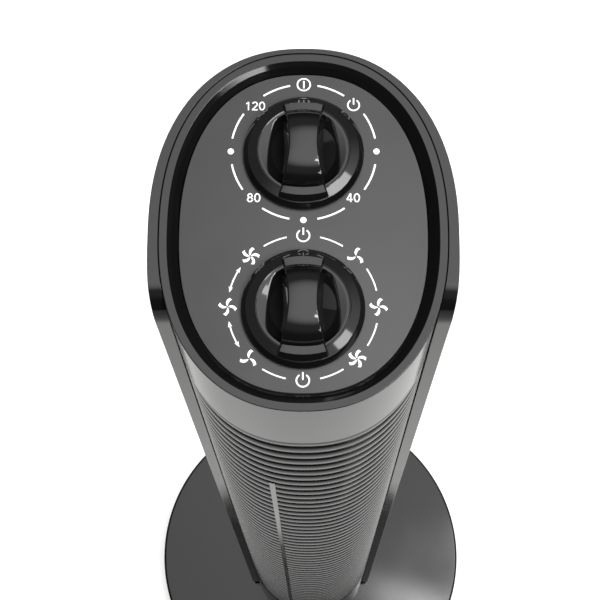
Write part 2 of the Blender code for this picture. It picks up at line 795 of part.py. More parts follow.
def corner_cutter():
    """What rounds off the casing's front top corners."""
    low = TOWER_TOP - CASING_CORNER
    back = CASING_FRONT_Y + CASING_CORNER
    steps = 6
    arc = []
    for i in range(steps + 1):
        angle = math.pi / 2 + math.pi / 2 * i / steps
        arc.append((back + CASING_CORNER * math.cos(angle), low + CASING_CORNER * math.sin(angle)))
    front = CASING_FRONT_Y - CASING_CORNER
    above = TOWER_TOP + CASING_CORNER
    outline = [(back, above)] + arc + [(front, low), (front, above)]
    reach = 2 * COVER_HALF_WIDTH
    tool = prism("corner_cutter", [outline], -reach, reach)
    tool.rotation_euler = (math.pi / 2, 0, math.pi / 2)
    return tool


def rear_casing():
    """The glossy U-shaped shell, with its rounded corners, air slots and screw holes."""
    casing = prism("rear_casing", [casing_outline()], TOWER_BOTTOM, TOWER_TOP)
    cut(casing, corner_cutter())
    rows = int((INTAKE_HIGH - INTAKE_LOW) / INTAKE_PITCH) + 1
    slots = []
    for i in range(rows):
        low = INTAKE_LOW + INTAKE_PITCH * i
        for side in (-1, 1):
            inner = side * INTAKE_BAR / 2
            outer = side * INTAKE_HALF_WIDTH
            near = min(inner, outer)
            far = max(inner, outer)
            slots.append(((near, INTAKE_FROM_Y, low), (far, INTAKE_TO_Y, low + INTAKE_SLOT)))
    cut(casing, boxes("intake_slots", slots))
    back = COVER_BACK_Y
    near_reach = 2 * PAST
    far_reach = LUG_CUT_REACH + near_reach
    ends = []
    for height in (FLOOR_SCREW_Z, PLATE_SCREW_Z, BRACKET_SCREW_Z, COVER_SCREW_Z):
        ends.append(((0, back - near_reach, height), (0, back + far_reach, height)))
    cut(casing, rods("casing_holes", ends, SCREW_SHANK_RADIUS + TOUCH, 10))
    gland_ends = [((0, back - near_reach, GLAND_Z), (0, back + far_reach, GLAND_Z))]
    cut(casing, rods("gland_hole", gland_ends, GLAND_RADIUS + TOUCH, 16))
    finish(casing, "rear_casing", GLOSS_BLACK, tower)
    for i, height in enumerate((FLOOR_SCREW_Z, PLATE_SCREW_Z, BRACKET_SCREW_Z, COVER_SCREW_Z)):
        place = (0, back + 2 * TOUCH + CASING_BACK_WALL, height)
        screw_piece(f"casing_screw_{i + 1}", place, (0, -1, 0), tower, length=CASING_SCREW_LENGTH)


def cord_gland():
    """The bush in the rear wall where the mains lead comes in."""
    back = COVER_BACK_Y + 2 * TOUCH + CASING_BACK_WALL
    section = [
        (GLAND_BORE_RADIUS, GLAND_FLANGE),
        (GLAND_FLANGE_RADIUS, GLAND_FLANGE),
        (GLAND_FLANGE_RADIUS, 0),
        (GLAND_RADIUS, 0),
        (GLAND_RADIUS, GLAND_FLANGE - GLAND_LENGTH),
        (GLAND_BORE_RADIUS, GLAND_FLANGE - GLAND_LENGTH),
    ]
    gland = turned("cord_gland", section, 16, (0, back, GLAND_Z))
    gland.rotation_euler = (-math.pi / 2, 0, 0)
    finish(gland, "cord_gland", RUBBER, tower)


def front_grille():
    """The curved front with its stack of level ribs, plain below over the motor."""
    outer = (COVER_HALF_WIDTH, COVER_FRONT_Y, COVER_BACK_Y)
    start = plan_angle(COVER_FRONT_Y, COVER_BACK_Y, GRILLE_SIDE_Y)
    wall = plan_arc(*outer, math.pi - start, 2 * math.pi + start, GRILLE_FACETS)
    lining = inset(wall, GRILLE_WALL, closed=False)
    grille = prism("front_grille", [wall + lining[::-1]], TOWER_BOTTOM, GRILLE_TOP)
    slots = []
    top = GRILLE_TOP - (GRILLE_PITCH - GRILLE_SLOT)
    half = GRILLE_SLOT_HALF_WIDTH
    while top - GRILLE_SLOT > GRILLE_LOW:
        slots.append(((-half, GRILLE_CUT_FROM_Y, top - GRILLE_SLOT), (half, GRILLE_CUT_TO_Y, top)))
        top -= GRILLE_PITCH
    cut(grille, boxes("grille_slots", slots))
    finish(grille, "front_grille", GLOSS_BLACK, tower)


def top_cover():
    """The rim, the sloping inner edge, the ledge under the panel and the band round the top."""
    edge = RIM_WIDTH + BEVEL_WIDTH
    under = PANEL_Z - PANEL_THICKNESS - TOUCH
    section = [
        (0, BAND_BOTTOM),
        (0, TOWER_TOP - COVER_EDGE),
        (COVER_EDGE, TOWER_TOP),
        (RIM_WIDTH, TOWER_TOP),
        (edge, PANEL_Z),
        (edge, under),
        (edge + LEDGE_WIDTH, under),
        (edge + LEDGE_WIDTH, under - LEDGE_THICKNESS),
        (COVER_WALL, under - LEDGE_THICKNESS),
        (COVER_WALL, BAND_BOTTOM),
    ]
    cover = swept_loop("top_cover", cover_loop(), section)
    back = COVER_BACK_Y - LUG_SINK
    half = LUG_WIDTH / 2
    block = ((-half, back - LUG_DEPTH, COVER_LUG_Z), (half, back, COVER_LUG_Z + LUG_HEIGHT))
    join(cover, boxes("cover_lug", [block]))
    cut(cover, lug_hole(COVER_SCREW_Z))
    finish(cover, "top_cover", GLOSS_BLACK, tower)

    shaft_holes = [
        circle(DIAL_SHAFT_RADIUS + DIAL_HOLE_PLAY, (0, TIMER_Y), 16),
        circle(DIAL_SHAFT_RADIUS + DIAL_HOLE_PLAY, (0, SPEED_Y), 16),
    ]
    outline = cover_loop(edge + TOUCH)
    panel = prism("control_panel", [outline] + shaft_holes, PANEL_Z - PANEL_THICKNESS, PANEL_Z)
    finish(panel, "control_panel", SATIN_GREY, tower)
    outline = cover_loop(COVER_WALL + 2 * TOUCH)
    chassis = prism("control_chassis", [outline] + shaft_holes, CHASSIS_Z - CHASSIS_THICKNESS, CHASSIS_Z)
    finish(chassis, "control_chassis", STEEL, tower)


# Dials: timer, speed switch, and their knobs on shafts

def dial(name, body_name, shaft_name, centre_y, radius, height, holder):
    """A control under the chassis, the shaft that comes up from it and the knob on the shaft."""
    high = CHASSIS_Z - CHASSIS_THICKNESS - TOUCH
    section = rod_profile(radius, high - height, high)
    control = turned(body_name, section, 24, (0, centre_y, 0), closed=False)
    shaft_low = high - DIAL_BORE_DEPTH
    bore = [((0, centre_y, shaft_low - DIAL_BORE_END), (0, centre_y, high + PAST))]
    cut(control, rods(body_name + "_bore", bore, DIAL_SHAFT_RADIUS + RUNNING, 12))
    finish(control, body_name, MATTE_BLACK, tower)

    low = PANEL_Z + SLOT_PLAY
    shaft_high = low + KNOB_SOCKET_DEPTH - TOUCH
    section = rod_profile(DIAL_SHAFT_RADIUS, shaft_low, shaft_high)
    shaft = turned(shaft_name, section, 12, (0, centre_y, 0), closed=False)
    finish(shaft, shaft_name, STEEL, holder)

    profile = [
        (0, low + KNOB_DISH_HEIGHT),
        (KNOB_DISH_RADIUS, low + KNOB_DISH_HEIGHT),
        (KNOB_CROWN_RADIUS, low + KNOB_CROWN_HEIGHT),
        (KNOB_LIP_RADIUS, low + KNOB_LIP_HEIGHT),
        (KNOB_RADIUS, low + KNOB_EDGE_HEIGHT),
        (KNOB_RADIUS, low),
        (0, low),
    ]
    knob = turned(name, profile, 28, (0, 0, 0), closed=False)
    sections = []
    steps = 8
    for i in range(steps + 1):
        share = -1 + 2 * i / steps
        end_width = GRIP_BACK_WIDTH if share > 0 else GRIP_FRONT_WIDTH
        width = GRIP_WAIST_WIDTH + (end_width - GRIP_WAIST_WIDTH) * share * share
        rise = max(GRIP_END_RISE, math.sqrt(max(0.0, 1 - share * share)))
        top = low + KNOB_CROWN_HEIGHT + (GRIP_HEIGHT - KNOB_CROWN_HEIGHT) * rise
        y = GRIP_REACH * share
        foot = low + GRIP_FOOT
        half = width / 2
        sections.append([(-half, y, foot), (half, y, foot), (half, y, top), (-half, y, top)])
    grip = lofted(name + "_grip", sections)
    ends = [((0, 0, low - PAST), (0, 0, low + KNOB_SOCKET_DEPTH))]
    socket = rods(name + "_socket", ends, DIAL_SHAFT_RADIUS + TOUCH)
    for piece in (knob, grip, socket):
        piece.location.y = centre_y
    join(knob, grip)
    cut(knob, socket)
    finish(knob, name, GLOSS_BLACK, holder)


# Air path: duct, tongue, impeller, bearings

def band_path(points, thickness):
    """A strip's outline along an open path, thickened to its right-hand side."""
    return points + inset(points, -thickness, closed=False)[::-1]


def arc_points(radius, centre, start, end, count):
    """Points on an arc; angles in degrees."""
    points = []
    for i in range(count + 1):
        angle = math.radians(start + (end - start) * i / count)
        points.append((centre[0] + radius * math.cos(angle), centre[1] + radius * math.sin(angle)))
    return points


def air_duct():
    """The curved wall that guides the air to the front, and the tongue opposite it."""
    low = MOTOR_PLATE_Z + MOTOR_PLATE_THICKNESS + TOUCH
    high = BRACKET_Z - TOUCH
    centre = (0, IMPELLER_Y)
    radius = IMPELLER_RADIUS + DUCT_GAP
    path = arc_points(radius, centre, *DUCT_ARC, 8) + [DUCT_MOUTH]
    duct = prism("air_duct", [band_path(path, DUCT_WALL)], low, high)
    finish(duct, "air_duct", MATTE_BLACK, tower)
    path = [TONGUE_MOUTH] + arc_points(radius, centre, *TONGUE_ARC, 3)
    tongue = prism("vortex_tongue", [band_path(path, DUCT_WALL)], low, high)
    finish(tongue, "vortex_tongue", MATTE_BLACK, tower)


def impeller():
    """The drum impeller: rings joined by thin curved blades, with a hub at the bottom."""
    radius = IMPELLER_RADIUS
    ring_inner = radius - BLADE_DEPTH - BLADE_SINK
    hub = [
        (SHAFT_RADIUS + TOUCH, IMPELLER_LOW + HUB_HEIGHT),
        (HUB_RADIUS, IMPELLER_LOW + HUB_HEIGHT),
        (HUB_RADIUS, IMPELLER_LOW + RING_THICKNESS),
        (radius, IMPELLER_LOW + RING_THICKNESS),
        (radius, IMPELLER_LOW),
        (SHAFT_RADIUS + TOUCH, IMPELLER_LOW),
    ]
    gap = (IMPELLER_HIGH - IMPELLER_LOW - RING_THICKNESS) / RING_COUNT
    lows = [IMPELLER_LOW + gap * i for i in range(1, RING_COUNT)]
    rings = [tube_profile(ring_inner, radius, low, low + RING_THICKNESS) for low in lows]
    cap = tube_profile(SHAFT_RADIUS + TOUCH, radius, IMPELLER_HIGH - RING_THICKNESS, IMPELLER_HIGH)
    drum = turned_group("impeller", [hub] + rings + [cap], 20, (0, IMPELLER_Y, 0))
    blades = []
    for i in range(IMPELLER_BLADES):
        angle = 360 / IMPELLER_BLADES * (i + BLADE_START)
        inner = radius - BLADE_DEPTH
        outer = radius - BLADE_SINK
        points = []
        for share, turn in ((0, 0), (0.5, BLADE_LEAN * BLADE_BOW), (1, BLADE_LEAN)):
            reach = inner + (outer - inner) * share
            at = math.radians(angle + turn)
            points.append((reach * math.cos(at), IMPELLER_Y + reach * math.sin(at)))
        blades.append(band_path(points, BLADE_THICKNESS))
    join(drum, prism("impeller_blades", blades, IMPELLER_LOW + BLADE_SINK, IMPELLER_HIGH - BLADE_SINK))
    finish(drum, "impeller", MATTE_BLACK, impeller_pivot)
    low = motor_low() + SHAFT_START
    high = IMPELLER_LOW + HUB_HEIGHT - TOUCH
    section = rod_profile(SHAFT_RADIUS, low, high)
    shaft = turned("impeller_shaft", section, 12, (0, IMPELLER_Y, 0), closed=False)
    finish(shaft, "impeller_shaft", STEEL, impeller_pivot)
    pin_high = BRACKET_Z + BEARING_HEIGHT - BEARING_DROP
    section = rod_profile(SHAFT_RADIUS, IMPELLER_HIGH - RING_THICKNESS, pin_high)
    pin = turned("top_pin", section, 12, (0, IMPELLER_Y, 0), closed=False)
    finish(pin, "top_pin", STEEL, impeller_pivot)


def top_bearing():
    """The bracket over the impeller, its rubber bush and the bronze bearing in the bush."""
    low = BRACKET_Z
    high = BRACKET_Z + BRACKET_THICKNESS
    loom_hole = circle(LOOM_HOLE_RADIUS, (LOOM_X, LOOM_Y), 12)
    holes = [circle(BUSH_RADIUS + TOUCH, (0, IMPELLER_Y), 20), loom_hole]
    bracket = prism("bearing_bracket", [inner_loop()] + holes, low, high)
    half = LUG_HEIGHT / 2
    with_lug(bracket, BRACKET_SCREW_Z - half, BRACKET_SCREW_Z + half, BRACKET_SCREW_Z)
    finish(bracket, "bearing_bracket", MATTE_BLACK, tower)
    place = (0, IMPELLER_Y, 0)
    low = BRACKET_Z - BEARING_DROP
    high = low + BEARING_HEIGHT
    section = tube_profile(BEARING_RADIUS + TOUCH, BUSH_RADIUS, low, high)
    bush = turned("bearing_bush", section, 20, place)
    finish(bush, "bearing_bush", RUBBER, tower)
    section = tube_profile(SHAFT_RADIUS + RUNNING, BEARING_RADIUS, low, high)
    bearing = turned("top_bearing", section, 20, place)
    finish(bearing, "top_bearing", BRONZE, tower)


# Fan motor under its plate

def motor_high():
    """Height of the fan motor's upper end."""
    return MOTOR_PLATE_Z - TOUCH


def motor_low():
    """Height of the fan motor's lower end."""
    return motor_high() - MOTOR_HEIGHT


def fan_motor():
    """The plate across the tower and the motor that hangs from it."""
    loom_hole = circle(LOOM_HOLE_RADIUS, (LOOM_X, LOOM_Y), 12)
    holes = [circle(HUB_RADIUS, (0, IMPELLER_Y), 16), loom_hole]
    plate_top = MOTOR_PLATE_Z + MOTOR_PLATE_THICKNESS
    plate = prism("motor_plate", [inner_loop()] + holes, MOTOR_PLATE_Z, plate_top)
    half = LUG_HEIGHT / 2
    with_lug(plate, PLATE_SCREW_Z - half, PLATE_SCREW_Z + half, PLATE_SCREW_Z)
    finish(plate, "motor_plate", MATTE_BLACK, tower)

    place = (0, IMPELLER_Y, 0)
    middle = (motor_high() + motor_low()) / 2
    stack = STATOR_HEIGHT / 2
    section = tube_profile(ROTOR_RADIUS + AIR_GAP, MOTOR_RADIUS, middle - stack, middle + stack)
    finish(turned("motor_stator", section, 24, place), "motor_stator", IRON, tower)
    half = ROTOR_HEIGHT / 2
    section = tube_profile(SHAFT_RADIUS + TOUCH, ROTOR_RADIUS, middle - half, middle + half)
    finish(turned("motor_rotor", section, 24, place), "motor_rotor", IRON, impeller_pivot)

    radius = MOTOR_RADIUS - MOTOR_COVER_INSET
    seat = BEARING_RADIUS + TOUCH
    for name, end, way in (("upper", motor_high(), 1), ("lower", motor_low(), -1)):
        rim = middle + way * (stack + TOUCH)
        inside = end - way * MOTOR_WALL
        boss = end - way * MOTOR_BEARING_HEIGHT
        section = [
            (seat, end),
            (radius, end),
            (radius, rim),
            (radius - MOTOR_WALL, rim),
            (radius - MOTOR_WALL, inside),
            (seat + MOTOR_BOSS_WALL, inside),
            (seat + MOTOR_BOSS_WALL, boss),
            (seat, boss),
        ]
        shell = turned(f"motor_{name}_cover", section, 24, place)
        finish(shell, f"motor_{name}_cover", STEEL, tower)
        low = min(end, boss)
        section = tube_profile(SHAFT_RADIUS + RUNNING, BEARING_RADIUS, low, low + MOTOR_BEARING_HEIGHT)
        finish(turned(f"{name}_motor_bearing", section, 16, place), f"{name}_motor_bearing", BRONZE, tower)

    width, depth, height = CAPACITOR_SIZE
    back = IMPELLER_Y - MOTOR_RADIUS - CAPACITOR_GAP
    high = motor_high()
    block = ((-width / 2, back - depth, high - height), (width / 2, back, high))
    body = boxes("capacitor", [block])
    bevel = body.modifiers.new("Round", "BEVEL")
    bevel.width = CAPACITOR_ROUNDING
    bevel.segments = 2
    finish(body, "capacitor", FILM_GREY, tower)


def wiring_loom():
    """The sleeved wires from the speed switch down past the duct to the motor and the gland."""
    high = CHASSIS_Z - CHASSIS_THICKNESS - TOUCH - SWITCH_BODY_HEIGHT - 4 * TOUCH
    route = [Vector((x, SPEED_Y + y, high - drop)) for x, y, drop in LOOM_START]
    for height in (high - LOOM_BEND, BRACKET_Z, MOTOR_PLATE_Z + LOOM_BEND, MOTOR_PLATE_Z, motor_low()):
        route.append(Vector((LOOM_X, LOOM_Y, height)))
    route += [Vector((x, COVER_BACK_Y - y, GLAND_Z + rise)) for x, y, rise in LOOM_END]
    points = [route[0]]
    for before, near, far, after in zip([route[0]] + route, route, route[1:], route[2:] + [route[-1]]):
        for i in (1, 2):
            t = i / 2
            points.append(
                0.5
                * (
                    2 * near
                    + (far - before) * t
                    + (2 * before - 5 * near + 4 * far - after) * t * t
                    + (3 * near - before - 3 * far + after) * t**3
                )
            )
    curve = bpy.data.curves.new("wiring_loom", "CURVE")
    curve.dimensions = "3D"
    curve.bevel_depth = LOOM_RADIUS
    curve.bevel_resolution = 2
    curve.use_fill_caps = True
    spline = curve.splines.new("POLY")
    spline.points.add(len(points) - 1)
    for point, place in zip(spline.points, points):
        point.co = (*place, 1)
    shape = evaluated_bmesh(bpy.data.objects.new("wiring_loom", curve))
    finish(from_bmesh("wiring_loom", shape), "wiring_loom", MATTE_BLACK, tower)


base_shell()
base_inside()
swivel_pieces()
tower_floor()
swing_drive()
rear_casing()
cord_gland()
front_grille()
top_cover()
timer_body = (TIMER_BODY_RADIUS, TIMER_BODY_HEIGHT)
switch_body = (SWITCH_BODY_RADIUS, SWITCH_BODY_HEIGHT)
dial("timer_knob", "timer_body", "timer_shaft", TIMER_Y, *timer_body, timer_pivot)
dial("speed_knob", "speed_switch", "switch_shaft", SPEED_Y, *switch_body, speed_pivot)
air_duct()
impeller()
top_bearing()
fan_motor()
wiring_loom()
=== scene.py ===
"""The looks of a tower fan on a round swinging base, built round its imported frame.

Units are metres, +Z is up and the front faces -Y. Each section below is one piece or one group of
like pieces: the base first, then the tower's outside up to its dials, and the inside last.
"""

import json
import math

import bpy
import numpy as np
from mathutils import Matrix, Vector


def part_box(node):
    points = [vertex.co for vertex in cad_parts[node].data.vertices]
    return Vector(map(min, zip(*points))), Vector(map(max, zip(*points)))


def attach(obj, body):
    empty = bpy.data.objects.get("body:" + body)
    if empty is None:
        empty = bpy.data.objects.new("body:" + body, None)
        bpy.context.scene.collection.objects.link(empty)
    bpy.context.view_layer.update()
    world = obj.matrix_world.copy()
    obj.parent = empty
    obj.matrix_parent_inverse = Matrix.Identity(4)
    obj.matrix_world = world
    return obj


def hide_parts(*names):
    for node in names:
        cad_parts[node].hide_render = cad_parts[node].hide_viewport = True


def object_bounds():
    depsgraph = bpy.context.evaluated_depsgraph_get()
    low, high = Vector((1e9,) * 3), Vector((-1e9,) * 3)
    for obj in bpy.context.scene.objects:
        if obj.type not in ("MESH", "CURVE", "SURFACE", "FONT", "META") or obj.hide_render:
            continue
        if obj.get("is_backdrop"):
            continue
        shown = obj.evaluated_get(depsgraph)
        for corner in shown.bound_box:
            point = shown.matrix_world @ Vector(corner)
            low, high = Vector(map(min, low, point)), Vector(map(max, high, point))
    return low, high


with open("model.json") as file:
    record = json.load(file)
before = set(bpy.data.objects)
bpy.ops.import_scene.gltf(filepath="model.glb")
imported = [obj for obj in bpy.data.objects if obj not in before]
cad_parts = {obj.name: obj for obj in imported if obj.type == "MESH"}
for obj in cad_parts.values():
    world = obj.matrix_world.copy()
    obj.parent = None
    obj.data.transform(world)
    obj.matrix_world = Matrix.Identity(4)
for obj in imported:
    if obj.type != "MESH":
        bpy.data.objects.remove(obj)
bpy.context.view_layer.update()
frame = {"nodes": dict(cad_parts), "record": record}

# Camera: above and a little in front of the fan, looking down over the dials to the base.
# It stands as a person would who reads the dials, leaning over the front edge.

PANEL_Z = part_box("control_panel")[1].z
CAMERA_PLACE = Vector((0.0034, -0.1385, PANEL_Z + 0.4029))
CAMERA_YAW = math.radians(-2.03)
CAMERA_PITCH = math.radians(73.32)
CAMERA_ROLL = math.radians(1.89)
CAMERA_LENS = 88.956


def aimed(yaw, pitch, roll):
    """A camera's turn: it looks along +Y, is turned by yaw, tipped down by pitch, then rolled."""
    flat = math.cos(pitch)
    forward = Vector((math.sin(yaw) * flat, math.cos(yaw) * flat, -math.sin(pitch)))
    level = Vector((math.cos(yaw), -math.sin(yaw), 0))
    down = forward.cross(level)
    right = level * math.cos(roll) + down * math.sin(roll)
    up = level * math.sin(roll) - down * math.cos(roll)
    return Matrix((right, up, -forward)).transposed()


camera = bpy.data.objects.new("camera", bpy.data.cameras.new("camera"))
camera.data.lens = CAMERA_LENS
camera.data.clip_start = 0.01
camera_turn = aimed(CAMERA_YAW, CAMERA_PITCH, CAMERA_ROLL)
camera.matrix_world = Matrix.Translation(CAMERA_PLACE) @ camera_turn.to_4x4()
bpy.context.scene.collection.objects.link(camera)
bpy.context.scene.camera = camera
bpy.context.scene.view_settings.view_transform = "Standard"

# Studio: a white sweep, one wide soft light over the fan, a dim room round it and three softboxes.
# The first softbox shows in the dials, the second in the base's top, the third in the rim's edges.
# A softbox is its name, brightness, place, the point it faces, width and height.

OVERHEAD_LEAN_X = math.radians(6)
OVERHEAD_LEAN_Y = math.radians(11)
OVERHEAD_EDGE = math.cos(math.radians(33))
OVERHEAD_CORE = math.cos(math.radians(6))
OVERHEAD_LEVEL = 4.6
ROOM_HIGH = math.cos(math.radians(38))
ROOM_LOW = math.cos(math.radians(68))
ROOM_LEVEL = 0.50
HORIZON_LEVEL = 0.05
BACKDROP_LEVEL = 1.0
SOFTBOXES = [
    ("dial_softbox", 13.0, Vector((2.25, 0.18, 6.75)), Vector((0.0, 0.0, 0.75)), 2.28, 1.50),
    ("base_softbox", 24.0, Vector((0.66, 0.067, 3.50)), Vector((0.02, 0.30, 0.02)), 0.24, 0.35),
    ("edge_softbox", 13.0, Vector((0.386, -0.365, 1.271)), Vector((-0.02, 0.05, 0.75)), 0.42, 0.16),
]


def node_of(tree, kind, **settings):
    """A new shader node with its plain settings filled in."""
    made = tree.nodes.new(kind)
    for name, value in settings.items():
        setattr(made, name, value)
    return made


world = bpy.data.worlds.new("studio")
bpy.context.scene.world = world
world.use_nodes = True
tree = world.node_tree
tree.nodes.clear()
direction = tree.nodes.new("ShaderNodeTexCoord")
overhead_axis = Vector((math.sin(OVERHEAD_LEAN_X), math.sin(OVERHEAD_LEAN_Y), 1)).normalized()
facing = node_of(tree, "ShaderNodeVectorMath", operation="DOT_PRODUCT")
facing.inputs[1].default_value = overhead_axis
room = node_of(tree, "ShaderNodeMapRange", interpolation_type="SMOOTHSTEP")
room.inputs["From Min"].default_value = ROOM_LOW
room.inputs["From Max"].default_value = ROOM_HIGH
room.inputs["To Min"].default_value = HORIZON_LEVEL
room.inputs["To Max"].default_value = ROOM_LEVEL
overhead = node_of(tree, "ShaderNodeMapRange", interpolation_type="SMOOTHSTEP")
overhead.inputs["From Min"].default_value = OVERHEAD_EDGE
overhead.inputs["From Max"].default_value = OVERHEAD_CORE
overhead.inputs["To Max"].default_value = OVERHEAD_LEVEL
light_path = tree.nodes.new("ShaderNodeLightPath")
backdrop = tree.nodes.new("ShaderNodeMix")
backdrop.inputs["B"].default_value = BACKDROP_LEVEL
sky = tree.nodes.new("ShaderNodeBackground")
output = tree.nodes.new("ShaderNodeOutputWorld")
tree.links.new(direction.outputs["Generated"], facing.inputs[0])
tree.links.new(facing.outputs["Value"], room.inputs["Value"])
tree.links.new(facing.outputs["Value"], overhead.inputs["Value"])
tree.links.new(room.outputs["Result"], overhead.inputs["To Min"])
tree.links.new(light_path.outputs["Is Camera Ray"], backdrop.inputs["Factor"])
tree.links.new(overhead.outputs["Result"], backdrop.inputs["A"])
tree.links.new(backdrop.outputs["Result"], sky.inputs["Strength"])
tree.links.new(sky.outputs["Background"], output.inputs["Surface"])

for name, radiance, place, target, width, height in SOFTBOXES:
    softbox = bpy.data.objects.new(name, bpy.data.lights.new(name, "AREA"))
    softbox.data.shape = "RECTANGLE"
    softbox.data.size, softbox.data.size_y = width, height
    softbox.data.energy = radiance * math.pi * width * height
    softbox.location = place
    softbox.rotation_mode = "QUATERNION"
    softbox.rotation_quaternion = (place - target).to_track_quat("Z", "Y")
    softbox.visible_camera = False
    bpy.context.scene.collection.objects.link(softbox)

# Helpers that the sections below share: shader nodes for their finishes, and their meshes.


def noise(tree, scale, detail=3.0, coordinates=None):
    """Noise on the object's own coordinates, with scale in features per metre."""
    if coordinates is None:
        coordinates = tree.nodes.new("ShaderNodeTexCoord").outputs["Object"]
    made = tree.nodes.new("ShaderNodeTexNoise")
    made.inputs["Scale"].default_value = scale
    made.inputs["Detail"].default_value = detail
    tree.links.new(coordinates, made.inputs["Vector"])
    return made.outputs["Fac"]


def ranged(tree, value, low, high, start=0.0, end=1.0):
    """A value carried from start..end over to low..high."""
    made = tree.nodes.new("ShaderNodeMapRange")
    made.inputs["From Min"].default_value = start
    made.inputs["From Max"].default_value = end
    made.inputs["To Min"].default_value = low
    made.inputs["To Max"].default_value = high
    tree.links.new(value, made.inputs["Value"])
    return made.outputs["Result"]


def tinted(tree, value, stops):
    """A colour ramp through the given (place, colour) stops."""
    made = tree.nodes.new("ShaderNodeValToRGB")
    ramp = made.color_ramp
    while len(ramp.elements) < len(stops):
        ramp.elements.new(0.5)
    for element, (place, colour) in zip(ramp.elements, stops):
        element.position = place
        element.color = (*colour, 1)
    tree.links.new(value, made.inputs["Fac"])
    return made.outputs["Color"]


def finish_of(name):
    """An empty Principled material and its node tree and shader."""
    made = bpy.data.materials.new(name)
    made.use_nodes = True
    return made, made.node_tree, made.node_tree.nodes["Principled BSDF"]


def bumped(tree, shader, height, depth):
    """Joins a height to the shader's normal as a bump of that depth in metres."""
    made = tree.nodes.new("ShaderNodeBump")
    made.inputs["Strength"].default_value = 1.0
    made.inputs["Distance"].default_value = depth
    tree.links.new(height, made.inputs["Height"])
    tree.links.new(made.outputs["Normal"], shader.inputs["Normal"])


def meshed(name, points, faces, look, smooth_angle=40):
    """An object of the given points and faces, smooth except along its sharp edges."""
    mesh = bpy.data.meshes.new(name)
    mesh.from_pydata(points.reshape(-1, 3).tolist(), [], faces)
    mesh.update()
    mesh.shade_smooth()
    mesh.set_sharp_from_angle(angle=math.radians(smooth_angle))
    mesh.materials.append(look)
    made = bpy.data.objects.new(name, mesh)
    bpy.context.scene.collection.objects.link(made)
    return made


# Sweep: matt white studio floor that reaches far out behind the fan. The camera sees it brighter
# than it lights the fan, so that its white doesn't flood the glossy sides.

SWEEP_RADIUS = 40.0
SWEEP_STEPS = 96
SWEEP_WHITES = [(0.3, (0.70, 0.70, 0.69)), (0.7, (0.72, 0.72, 0.71))]
SWEEP_GLOW = 0.06
SWEEP_GLOW_SEEN = 0.56
sweep_look, tree, shader = finish_of("white_sweep")
shader.inputs["Roughness"].default_value = 0.9
shader.inputs["Emission Color"].default_value = (1, 1, 0.99, 1)
seen_by_camera = tree.nodes.new("ShaderNodeLightPath").outputs["Is Camera Ray"]
glow = ranged(tree, seen_by_camera, SWEEP_GLOW, SWEEP_GLOW_SEEN)
tree.links.new(glow, shader.inputs["Emission Strength"])
tree.links.new(tinted(tree, noise(tree, 3.0), SWEEP_WHITES), shader.inputs["Base Color"])
turn = np.linspace(0, 2 * np.pi, SWEEP_STEPS, endpoint=False)
sweep_points = np.stack([SWEEP_RADIUS * np.cos(turn), SWEEP_RADIUS * np.sin(turn), 0 * turn], 1)
sweep = meshed("floor", sweep_points, [tuple(range(SWEEP_STEPS))], sweep_look)
sweep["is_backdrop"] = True

# Glossy shells: injection-moulded black ABS from a polished tool. It is nearly a mirror, with a
# faint unevenness of the surface, a slight haze in patches and a few grains of dust.


def polished_black(name, tone, haze, wave_depth, bend=1.40):
    """Black gloss: its grey, its mean roughness, the depth of its unevenness, how it bends light."""
    made, tree, shader = finish_of(name)
    coordinates = tree.nodes.new("ShaderNodeTexCoord").outputs["Object"]
    patches = noise(tree, 22.0, 4.0, coordinates)
    dark = (tone * 0.85, tone * 0.85, tone * 0.88)
    light = (tone * 1.20, tone * 1.20, tone * 1.17)
    tree.links.new(tinted(tree, patches, [(0.30, dark), (0.70, light)]), shader.inputs["Base Color"])
    grains = noise(tree, 2600.0, 1.0, coordinates)
    hazy = ranged(tree, patches, haze * 0.75, haze * 1.30, 0.3, 0.7)
    dusty = ranged(tree, grains, 0.0, 0.25, 0.80, 0.86)
    summed = node_of(tree, "ShaderNodeMath", operation="ADD", use_clamp=True)
    tree.links.new(hazy, summed.inputs[0])
    tree.links.new(dusty, summed.inputs[1])
    tree.links.new(summed.outputs["Value"], shader.inputs["Roughness"])
    shader.inputs["IOR"].default_value = bend
    bumped(tree, shader, noise(tree, 240.0, 2.0, coordinates), wave_depth)
    return made


GLOSS_TONE = 0.004
shell_black = polished_black("polished_black_shell", GLOSS_TONE, 0.10, 0.000004)
base_black = polished_black("polished_black_base", GLOSS_TONE, 0.10, 0.000004, 1.35)

# Plan of the tower: every shell follows a squared oval, whose front half and back half meet where
# it is widest. The cover's box gives the first one; the other shells lie just inside or outside it.

cover_low, cover_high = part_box("top_cover")
PLAN_MIDDLE_Y = 0.0020
PLAN_POWER = 2.25
SHELL_GAP = 0.0003


def oval(half_width, front_y, back_y, turn, front_power=PLAN_POWER):
    """x and y of the squared oval: cosine and sine of the turn, each raised to 2 / power."""
    across, along = np.cos(turn), np.sin(turn)
    reach = np.where(along > 0, back_y - PLAN_MIDDLE_Y, PLAN_MIDDLE_Y - front_y)
    power = np.where(along > 0, PLAN_POWER, front_power)
    x = half_width * np.sign(across) * np.abs(across) ** (2 / power)
    y = PLAN_MIDDLE_Y + reach * np.sign(along) * np.abs(along) ** (2 / power)
    return x, y


def turn_at_y(front_y, back_y, y, front_power=PLAN_POWER):
    """The turn at which the oval's right-hand side reaches y."""
    reach = np.where(y > PLAN_MIDDLE_Y, back_y - PLAN_MIDDLE_Y, PLAN_MIDDLE_Y - front_y)
    power = np.where(y > PLAN_MIDDLE_Y, PLAN_POWER, front_power)
    share = (y - PLAN_MIDDLE_Y) / reach
    return np.sign(share) * np.arcsin(np.abs(share) ** (power / 2))


